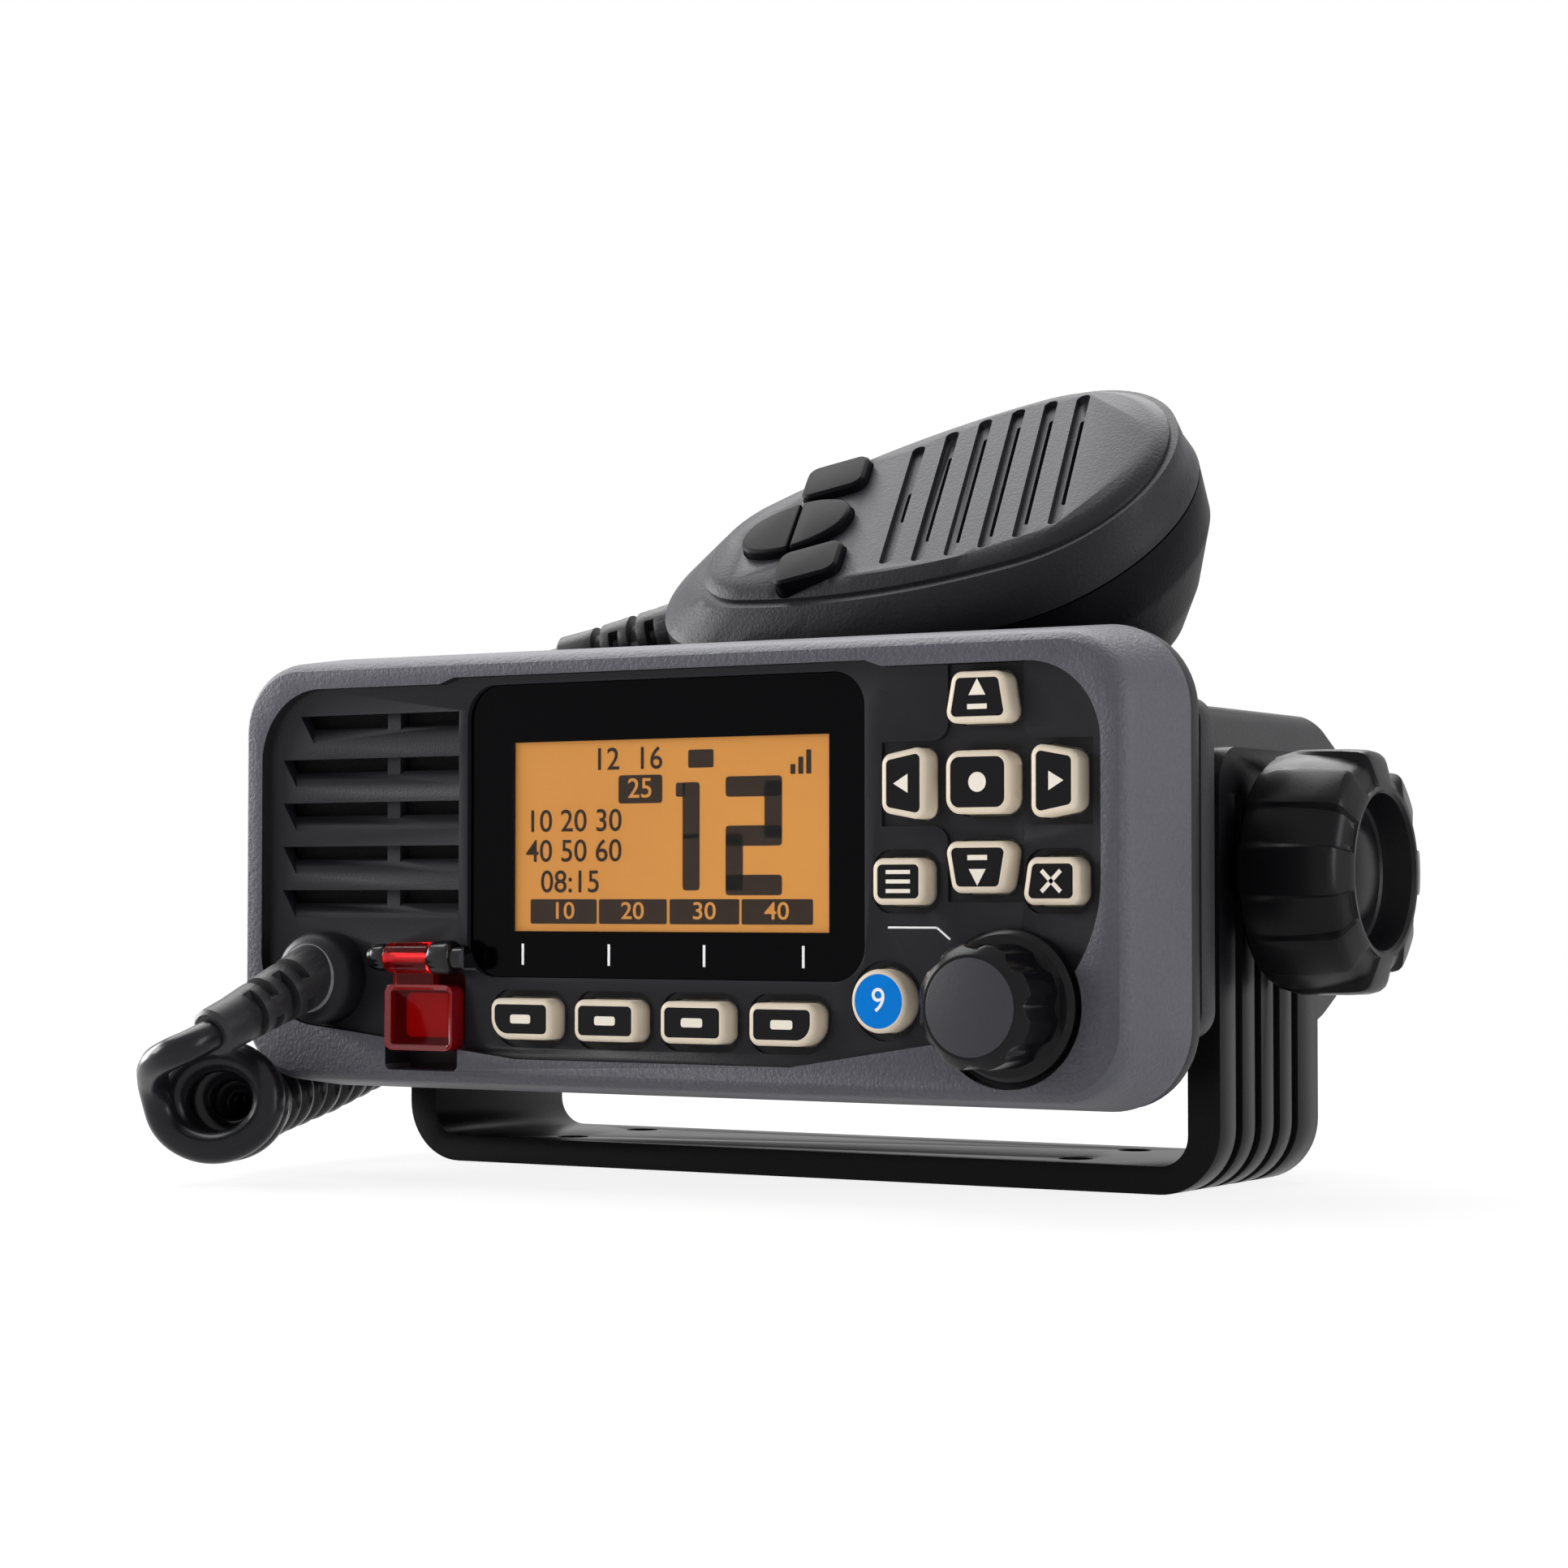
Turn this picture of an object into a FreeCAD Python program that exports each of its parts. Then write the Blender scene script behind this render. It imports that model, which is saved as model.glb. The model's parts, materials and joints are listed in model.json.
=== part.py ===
import FreeCAD, Part
import math
import os
import Sketcher
from FreeCAD import Vector

# A fixed-mount VHF marine radio with its U bracket, fist microphone and curly cord.
# Millimetres. +Z is up, the front faces -Y, and the origin is the centre of the bracket's
# bolt pattern, on the bracket's underside.

SIZES = {
    # where the assemblies stand
    "pivot_height": 46.0,  # tilt axis above the mounting surface
    "front_reach": 55.5,  # tilt axis to the front rim
    "panel_rise": 0.4,  # front panel's centre above the tilt axis
    # front housing
    "front_width": 156.5,
    "front_height": 66.5,
    "front_depth": 14.0,
    "front_draft_x": 2.6,  # how far the ends lean in at the rim
    "front_draft_y": 1.45,
    "front_corner": 12.0,
    "rim_round": 1.4,  # the rim's outer edge rolls in by this much
    "rim_round_deep": 2.2,
    "band_width": 4.1,  # flat rim around the recessed face
    "recess_depth": 2.0,
    "face_wall": 2.2,
    "side_wall": 2.4,
    "arch_rise": 4.2,  # how far the recess's lower edge climbs at its ends
    "arch_half": 23.5,
    "recess_corner": 11.0,
    "recess_sweep": 22.0,
    "window_jog": 0.9,
    # display
    "window_width": 68.0,
    "window_height": 43.0,
    "window_x": 0.3,
    "window_y": 5.8,
    "window_thick": 1.0,
    "window_sink": 0.8,
    "window_ledge": 2.6,
    "window_corner": 5.0,
    "lcd_x": 0.2,
    "lcd_y": 6.0,
    "lcd_width": 56.0,
    "lcd_height": 30.0,
    # speaker grille
    "grille_left": 69.0,
    "grille_right": 35.4,
    "grille_top": 23.7,
    "slot_pitch": 6.65,
    "slot_open": 2.0,
    "slot_lip": 2.2,
    "slot_slant": 2.6,
    "grille_rib": 2.4,
    "grille_rib_x": 48.5,
    "rib_back": 1.2,
    "speaker_radius": 16.0,
    "speaker_depth": 7.5,
    # keys
    "key_clearance": 0.25,
    "key_bevel": 0.45,
    "key_proud": 2.4,
    "key_travel": 0.6,
    "key_flange": 0.8,
    "key_flange_thick": 0.8,
    "key_well": 0.8,
    "well_margin": 1.2,
    "softkey_width": 11.0,
    "softkey_height": 6.0,
    "softkey_pitch": 14.9,
    "softkey_y": 21.8,
    "nav_x": 53.3,
    "nav_y": 11.5,
    "nav_reach": 11.5,  # cluster centre to the middle of an arrow key
    "nav_long": 10.4,
    "nav_short": 7.0,
    "nav_slant": 1.3,
    "nav_elbow": 2.4,
    "enter_width": 10.0,
    "enter_height": 8.6,
    "menu_x": 41.0,
    "clear_x": 64.4,
    "menu_y": 1.9,
    "menu_width": 8.2,
    "menu_height": 6.4,
    "call_x": 37.9,
    "call_y": 18.3,
    "call_radius": 4.4,
    "key_corner": 1.6,
    "mat_thick": 1.2,
    "board_thick": 1.6,
    # volume and squelch control
    "dial_x": 57.4,
    "dial_y": 18.6,
    "dial_radius": 8.5,
    "dial_skirt_radius": 10.4,
    "dial_skirt": 2.2,
    "dial_proud": 12.5,
    "dial_cap_radius": 6.6,
    "dial_flute": 3.4,
    "dial_push": 0.5,
    "shaft_radius": 3.0,
    "shaft_clearance": 0.05,
    "bush_radius": 4.5,
    "bush_rise": 5.0,
    # distress key
    "distress_x": 40.8,
    "hinge_y": 13.0,
    "hinge_radius": 1.75,
    "hinge_lift": 0.4,
    "hinge_pin_radius": 0.7,
    "cover_width": 12.6,
    "cover_length": 14.0,
    "cover_thick": 1.1,
    "ear_left": 2.8,
    "ear_right": 5.6,
    "barrel_width": 8.8,
    "barrel_shift": 1.4,
    "well_foot": 2.8,
    "distress_width": 9.4,
    "distress_height": 6.6,
    "distress_y": 21.6,
    "distress_floor": 6.0,
    # microphone gland and its strain relief
    "gland_x": 59.8,
    "gland_y": 16.2,
    "gland_radius": 7.0,
    "gland_stub": 5.0,
    "gland_dome": 5.4,
    "gland_ring": 5.2,
    "relief_droop": 22.0,
    "relief_lean": 5.5,
    "relief_length": 21.2,
    "relief_root": 4.7,
    "relief_tip": 3.8,
    "relief_collar": 5.0,
    "relief_pitch": 3.3,
    "relief_gap": 1.7,
    "relief_core": 2.6,
    "relief_spine": 1.5,
    # curly cord
    "cord_diameter": 4.8,
    "coil_diameter": 12.4,
    # body
    "gasket_thick": 3.6,
    "gasket_inset": 0.2,
    "gasket_band": 10.0,
    "gasket_chamfer": 0.6,
    "flange_thick": 4.3,
    "flange_height": 47.0,
    "chassis_width": 124.0,
    "chassis_height": 49.0,
    "chassis_end": 104.0,
    "chassis_wall": 2.6,
    "chassis_slope": 4.8,
    "chassis_slope_run": 9.5,
    "chassis_edge": 2.5,
    "fin_depth": 6.0,
    "fin_thick": 1.9,
    "fin_pitch": 6.0,
    "boss_radius": 10.0,
    "boss_height": 3.5,
    "screw_x": 72.2,
    "screw_y": 17.5,
    "screw_radius": 1.5,
    "socket_radius": 7.9,
    "socket_length": 12.0,
    "socket_bore": 5.6,
    "socket_pin": 2.0,
    "socket_flange": 25.0,
    "socket_x": 42.0,
    "socket_y": -4.0,
    "inlet_radius": 7.0,
    "inlet_bore": 3.5,
    # bracket and clamps
    "arm_clearance": 0.2,  # between each pad and the bracket's arm
    "arm_thick": 5.0,
    "arm_width": 35.5,
    "arm_top": 17.9,  # above the tilt axis
    "arm_corner": 6.0,
    "base_thick": 4.0,
    "bend_radius": 9.5,
    "rib_pitch": 6.7,
    "rib_gap": 2.4,
    "rib_depth": 0.9,
    "rib_shift": 1.1,
    "index_rise": 10.9,
    "index_radius": 3.3,
    "rib_top": 11.0,  # the grooves end this far above the tilt axis
    "hole_spacing_x": 90.0,
    "hole_spacing_y": 20.0,
    "hole_radius": 2.6,
    "stud_radius": 2.95,
    "stud_clearance": 0.05,
    "stud_slack": 0.35,
    "insert_radius": 5.0,
    "insert_length": 10.0,
    "pad_thick": 0.9,
    "washer_thick": 2.0,
    "washer_radius": 9.5,
    "knob_radius": 17.8,
    "knob_length": 16.0,
    "knob_edge_from": 3.5,  # the lobed edge lies between two bevels
    "knob_edge_to": 12.6,
    "knob_back_bevel": 0.9,
    "knob_scallop": 5.5,
    "knob_bite": 1.8,
    "knob_bowl": 11.5,
    "knob_bowl_depth": 5.0,
    "knob_button": 8.0,
    # microphone
    "mic_x": 19.65,
    "mic_back": 38.9,
    "mic_up": 55.05,
    "mic_yaw": 7.5,
    "mic_rise": 11.8,
    "mic_lean": 40.1,
    "mic_head_radius": 26.3,  # the case's outline at its seam: head, tail and side arcs
    "mic_head_at": 17.5,
    "mic_tail_radius": 18.5,
    "mic_tail_at": 25.0,
    "mic_side_radius": 120.0,
    "face_head_radius": 22.0,  # and the raised face's outline
    "face_head_at": 20.0,
    "face_tail_radius": 14.0,
    "face_tail_at": 20.0,
    "face_side_radius": 110.0,
    "face_step": 1.4,
    "face_slope": 2.2,
    "face_margin": 1.2,
    "face_room": 1.0,  # how far inside the face's edge the hollow behind it stops
    "mic_split": 9.2,  # the seam's depth below the face
    "mic_brow": 6.2,
    "mic_brow_inset": 0.6,
    "mic_face_wall": 2.2,
    "mic_wall": 2.0,
    "mic_groove": 0.3,
    "mic_groove_inset": 0.7,
    "mic_flank_at": 17.0,
    "mic_flank_inset": 1.1,
    "mic_belly_at": 26.0,
    "mic_belly_inset": 6.0,
    "mic_end_at": 34.0,
    "mic_end_inset": 12.0,
    "mic_taper": 4.5,  # how much more the tail draws in than the head, at the belly
    "mic_back_at": 26.9,  # the flat back's depth under its middle, and its tilt
    "mic_back_mid": 9.0,
    "mic_back_tilt": 11.3,
    "mic_slot_pitch": 5.4,
    "mic_slot_width": 2.2,
    "mic_slot_half": 19.0,
    "mic_slot_sweep": 90.0,
    "mic_slot_depth": 0.9,
    "mic_vent_reach": 16.8,
    "mic_vent_share": 0.9,
    "mic_vent_width": 1.1,
    "mic_key_clearance": 0.25,
    "mic_key_proud": 1.5,
    "mic_key_travel": 0.5,
    "mic_key_flange": 0.5,
    "mic_stem_radius": 1.5,
    "rocker_at": 17.4,
    "rocker_end": 5.2,
    "rocker_reach": 3.9,
    "rocker_side": 12.7,
    "rocker_split": 0.6,
    "side_key_at": 13.0,
    "side_key_out": 11.8,
    "side_key_long": 10.6,
    "side_key_wide": 8.4,
    "talk_from": 4.0,
    "talk_to": 38.0,
    "talk_proud": 2.2,
    "talk_travel": 1.2,
    "talk_rail": 11.5,  # how far inside the head's radius the bar's rail stops
    "talk_front": 11.0,
    "talk_back": 20.0,
    "mic_relief_length": 24.0,
    "mic_relief_root": 4.7,
    "mic_relief_from": 39.5,
    "mic_relief_side": 0.5,
    "mic_relief_deep": 11.0,
    "mic_board_at": 8.2,
    "capsule_radius": 5.0,
    "hanger_radius": 6.5,
}

SOFTKEYS = 4
SLOTS = 5
FINS = 7
LOBES = 8
FLUTES = 8
MIC_SLOTS = 6
RIB_GAPS = 4
RELIEF_SLOTS = 4

document = FreeCAD.newDocument("marine_radio")
sheet = document.addObject("Spreadsheet::Sheet", "Sizes")
for row, (alias, number) in enumerate(SIZES.items(), start=1):
    sheet.set("A%d" % row, alias)
    sheet.set("B%d" % row, str(number))
    sheet.setAlias("B%d" % row, alias)
document.recompute()

pieces = {}


class Size:
    """A length or angle: its number now, and the expression that binds it to the sheet."""

    def __init__(self, number, text):
        self.number = number
        self.text = text

    def __add__(self, other):
        other = sized(other)
        return Size(self.number + other.number, "(%s + %s)" % (self.text, other.text))

    def __sub__(self, other):
        other = sized(other)
        return Size(self.number - other.number, "(%s - %s)" % (self.text, other.text))

    def __mul__(self, other):
        other = sized(other)
        return Size(self.number * other.number, "(%s * %s)" % (self.text, other.text))

    def __truediv__(self, other):
        other = sized(other)
        return Size(self.number / other.number, "(%s / %s)" % (self.text, other.text))

    def __neg__(self):
        return sized(0) - self

    __radd__ = __add__
    __rmul__ = __mul__

    def __rsub__(self, other):
        return sized(other) - self

    def root(self):
        return Size(math.sqrt(self.number), "sqrt(%s)" % self.text)

    def cosine(self):
        return Size(math.cos(math.radians(self.number)), "cos(%s * 1 deg)" % self.text)

    def sine(self):
        return Size(math.sin(math.radians(self.number)), "sin(%s * 1 deg)" % self.text)


def sized(value):
    return value if isinstance(value, Size) else Size(float(value), "(%.6f)" % value)


class Sheet:
    """Gives sheet values by name, as in s.front_width."""

    def __getattr__(self, alias):
        return Size(float(sheet.get(alias)), "Sizes." + alias)


s = Sheet()


# Building blocks


def bind(thing, values):
    for path, value in values.items():
        thing.setExpression(path, sized(value).text)


def plane_of(body, role):
    return next(item for item in body.Origin.OriginFeatures if item.Role == role)


def rounded(x0, y0, x1, y1, r):
    """A rectangle's outline with one corner radius, counterclockwise."""
    return [
        (x0 + r, y0), (x1 - r, y0, r), (x1, y0 + r), (x1, y1 - r, r),
        (x1 - r, y1), (x0 + r, y1, r), (x0, y1 - r), (x0, y0 + r, r),
    ]


def centred(x, y, width, height, r):
    return rounded(x - width / 2, y - height / 2, x + width / 2, y + height / 2, r)


def circle(x, y, radius):
    return ("circle", x, y, radius)


def arc_between(start, end, radius):
    """The short arc of this radius, with its centre to the left of travel if it is positive."""
    across = end - start
    middle = (start + end) / 2
    half = across.Length / 2
    lift = math.sqrt(max(radius * radius - half * half, 0)) * (1 if radius > 0 else -1)
    left = Vector(-across.y, across.x, 0).normalize()
    centre = middle + left * lift
    side = left * (-1 if radius > 0 else 1)
    return Part.Arc(start, centre + side * abs(radius), end)


def draw_loop(sketch, loop):
    """Adds one closed loop, with every point and radius bound to the sheet."""
    first = sketch.GeometryCount
    if loop[0] == "circle":
        x, y, radius = (sized(value) for value in loop[1:])
        centre = Vector(x.number, y.number, 0)
        sketch.addGeometry(Part.Circle(centre, Vector(0, 0, 1), radius.number), False)
        hold(sketch, "DistanceX", (-1, 1, first, 3), x)
        hold(sketch, "DistanceY", (-1, 1, first, 3), y)
        hold(sketch, "Radius", (first,), radius)
        return
    corners = [(sized(point[0]), sized(point[1])) for point in loop]
    radii = [sized(point[2]) if len(point) == 3 else None for point in loop]
    places = [Vector(x.number, y.number, 0) for x, y in corners]
    starts = []
    ends = []
    for index, radius in enumerate(radii):
        start = places[index]
        end = places[(index + 1) % len(loop)]
        if radius is None:
            sketch.addGeometry(Part.LineSegment(start, end), False)
        else:
            sketch.addGeometry(arc_between(start, end, radius.number), False)
        backwards = radius is not None and radius.number < 0
        starts.append(2 if backwards else 1)
        ends.append(1 if backwards else 2)
    for index, radius in enumerate(radii):
        edge = first + index
        after = (index + 1) % len(loop)
        joined = Sketcher.Constraint("Coincident", edge, ends[index], first + after, starts[after])
        sketch.addConstraint(joined)
        hold(sketch, "DistanceX", (-1, 1, edge, starts[index]), corners[index][0])
        hold(sketch, "DistanceY", (-1, 1, edge, starts[index]), corners[index][1])
        if radius is not None:
            hold(sketch, "Radius", (edge,), radius if radius.number > 0 else -radius)


def hold(sketch, kind, where, size):
    index = sketch.addConstraint(Sketcher.Constraint(kind, *where, size.number))
    sketch.setExpression("Constraints[%d]" % index, size.text)


PLANES = {"Z": "XY_Plane", "X": "YZ_Plane", "Y": "XZ_Plane"}


def profile(body, name, loops, height=0, along="Z", across=0, up=0):
    """A sketch square to an axis, at a height along it and shifted in its own plane."""
    sketch = body.newObject("Sketcher::SketchObject", name)
    sketch.AttachmentSupport = (plane_of(body, PLANES[along]), [""])
    sketch.MapMode = "FlatFace"
    height = sized(height)
    bind(sketch, {
        "AttachmentOffset.Base.x": across,
        "AttachmentOffset.Base.y": up,
        "AttachmentOffset.Base.z": -height if along == "Y" else height,
    })
    if isinstance(loops, tuple) or not (isinstance(loops[0], list) or loops[0][0] == "circle"):
        loops = [loops]
    for loop in loops:
        draw_loop(sketch, loop)
    return sketch


def prism(name, loops, low, high, along="Z"):
    """A padded outline between two heights on an axis."""
    body = document.addObject("PartDesign::Body", name)
    start = high if along == "Y" else low
    sketch = profile(body, name + "_outline", loops, start, along)
    pad = body.newObject("PartDesign::Pad", name + "_pad")
    pad.Profile = sketch
    bind(pad, {"Length": sized(high) - low})
    return body


def turned(name, points, x=0, y=0):
    """A solid of revolution about the upright line at x, y: points are radius and height."""
    body = document.addObject("PartDesign::Body", name)
    sketch = profile(body, name + "_profile", points, y, "Y", x)
    turn = body.newObject("PartDesign::Revolution", name + "_turn")
    turn.Profile = sketch
    turn.ReferenceAxis = (sketch, ["V_Axis"])
    turn.Angle = 360
    return body


def lofted(name, sections):
    """A ruled loft through outlines at rising or falling heights."""
    body = document.addObject("PartDesign::Body", name)
    sketches = [
        profile(body, "%s_section%d" % (name, n), loop, height)
        for n, (loop, height) in enumerate(sections)
    ]
    loft = body.newObject("PartDesign::AdditiveLoft", name + "_loft")
    loft.Profile = sketches[0]
    loft.Sections = sketches[1:]
    loft.Ruled = True
    return body


def ease(body, kind, size, wanted):
    """Fillets or chamfers the edges of a body that a test picks out."""
    document.recompute()
    tip = body.Tip
    names = ["Edge%d" % (n + 1) for n, edge in enumerate(tip.Shape.Edges) if wanted(edge)]
    feature = body.newObject("PartDesign::" + kind, "%s_%s" % (body.Name, kind.lower()))
    feature.Base = (tip, names)
    bind(feature, {"Radius" if kind == "Fillet" else "Size": size})
    return body


def at_height(height):
    """Picks edges that lie wholly at one height."""
    level = sized(height).number
    return lambda edge: max(abs(edge.BoundBox.ZMin - level), abs(edge.BoundBox.ZMax - level)) < 0.01


def cut(name, base, *tools):
    result = document.addObject("Part::Cut", name)
    result.Base = base
    result.Tool = tools[0] if len(tools) == 1 else fuse(name + "_tools", *tools)
    result.Refine = True
    return result


def fuse(name, *shapes):
    result = document.addObject("Part::MultiFuse", name)
    result.Shapes = list(shapes)
    result.Refine = True
    return result


def common(name, *shapes):
    result = document.addObject("Part::MultiCommon", name)
    result.Shapes = list(shapes)
    return result


def place(thing, x, y, z, yaw=0, pitch=0, roll=0, within=()):
    """Binds a placement, given in another one's frame if there is one."""
    words = placement_words(x, y, z, yaw, pitch, roll)
    if within:
        words = "%s * %s" % (placement_words(*within), words)
    thing.setExpression("Placement", words)
    return thing


def placement_words(*values):
    texts = tuple(sized(value).text for value in values)
    return "placement(vector(%s; %s; %s); rotation(%s; %s; %s))" % texts


def piece(label, thing):
    """Names a finished sub-part."""
    thing.Label = label
    pieces[label] = thing
    return thing


# Three frames carry the pieces. The panel frame has x to the right, y up and z out towards
# the user, from the centre of the front rim. The microphone's has x from tail to head, y
# across and z out of its face, from its first slot. The bracket's is the part's own.


panel_up = s.pivot_height + s.panel_rise
microphone = (
    s.mic_x, s.mic_back - s.front_reach, s.mic_up + panel_up, s.mic_yaw, -s.mic_rise, s.mic_lean
)


def on_panel(label, thing):
    return piece(label, place(thing, 0, -s.front_reach, panel_up, 0, 0, 90))


def on_microphone(label, thing):
    return piece(label, place(thing, *microphone))


# Heights in the panel frame

face = -s.recess_depth
face_back = face - s.face_wall
rim_back = -s.front_depth
gasket_back = rim_back - s.gasket_thick
flange_back = gasket_back - s.flange_thick
chassis_back = -s.chassis_end
key_front = face + s.key_proud
key_back = face_back - 0.05 - s.key_flange_thick
mat_front = key_back - s.key_travel - 0.1
mat_back = mat_front - s.mat_thick
board_front = mat_back - 0.1
board_back = board_front - s.board_thick


# Front housing


def recess_outline():
    """The recessed face's edge: a flat-topped frame whose lower edge arches."""
    side = s.front_width / 2 - s.front_draft_x - s.band_width
    top = s.front_height / 2 - s.front_draft_y - s.band_width
    low = -top
    ends = low + s.arch_rise
    jog = s.window_width / 2 + 1.2
    left = s.window_x - jog
    right = s.window_x + jog
    return [
        (-side, ends + s.recess_corner, s.recess_corner), (-side + s.recess_corner, ends),
        (-s.arch_half, low), (s.arch_half, low),
        (side - s.recess_sweep, ends, s.recess_sweep), (side, ends + s.recess_sweep),
        (side, top - s.recess_corner, s.recess_corner), (side - s.recess_corner, top),
        (right + s.window_jog * 3, top), (right, top + s.window_jog),
        (left, top + s.window_jog), (left - s.window_jog * 3, top),
        (-side + s.recess_corner, top, s.recess_corner), (-side, top - s.recess_corner),
    ]


def housing_shell():
    half_x = s.front_width / 2
    half_y = s.front_height / 2
    rim_x = half_x - s.front_draft_x
    rim_y = half_y - s.front_draft_y
    rim_corner = s.front_corner - s.front_draft_y
    sections = [(rounded(-half_x, -half_y, half_x, half_y, s.front_corner), rim_back)]
    for share, deep in ((0, 1), (0.3, 0.45), (1, 0)):
        trim = s.rim_round * share
        outline = rounded(
            -rim_x + trim, -rim_y + trim, rim_x - trim, rim_y - trim, rim_corner - trim
        )
        sections.append((outline, -s.rim_round_deep * deep))
    shell = lofted("housing_shell", sections)
    inside_x = rim_x - s.side_wall
    inside_y = rim_y - s.side_wall
    cavity = prism(
        "housing_cavity",
        rounded(-inside_x, -inside_y, inside_x, inside_y, rim_corner - s.side_wall),
        rim_back - 1, face_back,
    )
    recess = prism("housing_recess", recess_outline(), face, 1)
    return cut("housing_tray", shell, cavity, recess)


def grille_cutters():
    """Louvred slots: an open half over a lip that slopes out to the face."""
    cutters = []
    for index in range(SLOTS):
        top = s.grille_top - s.slot_pitch * index
        inner = top - s.slot_open
        foot = inner - s.slot_lip
        section = [
            (top, face + 1), (top, face_back - 1), (inner, face_back - 1),
            (inner, face - s.face_wall * 0.7), (foot, face), (foot, face + 1),
        ]
        left = -s.grille_left + (s.slot_slant * 1.3 if index == 0 else 0)
        front = [
            (left, top), (left + s.slot_slant, foot), (-s.grille_right, foot),
            (-s.grille_right, top),
        ]
        louvre = prism("slot_section%d" % index, section, -s.grille_left - 1, -s.grille_right + 1, "X")
        window = prism("slot_front%d" % index, front, face_back - 1, face + 1)
        cutters.append(common("slot%d" % index, louvre, window))
    return cutters


def arrow_loop(turns, grow):
    """An arrow key's trapezoid, turned by quarter turns round the cluster's centre."""
    wide = s.nav_long / 2 + grow
    narrow = wide - s.nav_slant
    near = s.nav_reach - s.nav_short / 2 - grow
    far = s.nav_reach + s.nav_short / 2 + grow
    loop = [(-wide, near), (wide, near), (narrow, far), (-narrow, far)]
    for _ in range(turns):
        loop = [(-y, x) for x, y in loop]
    return [(s.nav_x + x, s.nav_y + y) for x, y in loop]


def clear_loop(grow):
    left = s.clear_x - s.menu_width / 2 - grow
    right = s.clear_x + s.menu_width / 2 + grow
    low = -s.menu_y - s.menu_height / 2 - grow
    high = -s.menu_y + s.menu_height / 2 + grow
    return [(left - 0.4, low), (right, low), (right, high), (left + 0.6, high)]


def softkey_loop(index, grow):
    """The outer two keys have one large corner each, on their outer lower side."""
    x = s.window_x - 0.3 + s.softkey_pitch * (index - (SOFTKEYS - 1) / 2)
    r = s.key_corner + grow
    big = s.key_corner * 2 + grow
    x0 = x - s.softkey_width / 2 - grow
    x1 = x + s.softkey_width / 2 + grow
    y0 = -s.softkey_y - s.softkey_height / 2 - grow
    y1 = -s.softkey_y + s.softkey_height / 2 + grow
    lower_left = big if index == 0 else r
    lower_right = big if index == SOFTKEYS - 1 else r
    return [
        (x0 + lower_left, y0), (x1 - lower_right, y0, lower_right), (x1, y0 + lower_right),
        (x1, y1 - r, r), (x1 - r, y1), (x0 + r, y1, r), (x0, y1 - r), (x0, y0 + lower_left, lower_left),
    ]


def enter_loop(grow):
    return centred(
        s.nav_x, s.nav_y, s.enter_width + 2 * grow, s.enter_height + 2 * grow, s.key_corner + 0.6 + grow
    )


def menu_loop(grow):
    return centred(
        s.menu_x, -s.menu_y, s.menu_width + 2 * grow, s.menu_height + 2 * grow, s.key_corner + grow
    )


def call_loop(grow):
    return circle(s.call_x, -s.call_y, s.call_radius + grow)


KEYS = {
    "softkey_1": (lambda grow: softkey_loop(0, grow), False),
    "softkey_2": (lambda grow: softkey_loop(1, grow), False),
    "softkey_3": (lambda grow: softkey_loop(2, grow), False),
    "softkey_4": (lambda grow: softkey_loop(3, grow), False),
    "key_up": (lambda grow: arrow_loop(0, grow), True),
    "key_left": (lambda grow: arrow_loop(1, grow), True),
    "key_down": (lambda grow: arrow_loop(2, grow), True),
    "key_right": (lambda grow: arrow_loop(3, grow), True),
    "key_enter": (enter_loop, False),
    "key_menu": (menu_loop, False),
    "key_clear": (clear_loop, True),
    "key_call": (call_loop, False),
}


def upright(edge):
    """Picks edges that run square to the panel."""
    return abs(edge.BoundBox.ZLength - edge.Length) < 0.001


def key_prism(name, key, grow, low, high):
    """A prism of a key's outline, its sharp corners rounded if the outline has them."""
    loop, sharp = KEYS[key]
    body = prism(name, loop(sized(grow)), low, high)
    if sharp:
        ease(body, "Fillet", s.key_corner + grow, upright)
    return body


def key_openings():
    cutters = []
    for key in KEYS:
        cutters.append(key_prism(key + "_opening", key, s.key_clearance, face_back - 1, 1))
        if not key.startswith("key_") or key in ("key_menu", "key_clear", "key_call"):
            cutters.append(
                key_prism(key + "_well", key, s.well_margin, face - s.key_well, 1)
            )
    reach = s.nav_reach + s.nav_short / 2 + s.well_margin
    arm = s.nav_long / 2 + s.well_margin - 0.6
    elbow = s.nav_elbow
    x = s.nav_x
    y = s.nav_y
    cross = [
        (x - arm, y - reach), (x + arm, y - reach), (x + arm, y - arm - elbow, -elbow),
        (x + arm + elbow, y - arm), (x + reach, y - arm), (x + reach, y + arm),
        (x + arm + elbow, y + arm, -elbow), (x + arm, y + arm + elbow), (x + arm, y + reach),
        (x - arm, y + reach), (x - arm, y + arm + elbow, -elbow), (x - arm - elbow, y + arm),
        (x - reach, y + arm), (x - reach, y - arm), (x - arm - elbow, y - arm, -elbow),
        (x - arm, y - arm - elbow),
    ]
    cutters.append(prism("nav_well", cross, face - s.key_well, 1))
    return cutters


def window_cutters():
    grow = 0.1
    outer = centred(
        s.window_x, s.window_y, s.window_width + 2 * grow, s.window_height + 2 * grow,
        s.window_corner,
    )
    inner = centred(
        s.window_x, s.window_y, s.window_width - 2 * s.window_ledge,
        s.window_height - 2 * s.window_ledge, s.window_corner - s.window_ledge,
    )
    floor = face - s.window_sink - s.window_thick
    return [prism("window_seat", outer, floor, 1), prism("window_hole", inner, face_back - 1, 0)]


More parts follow.
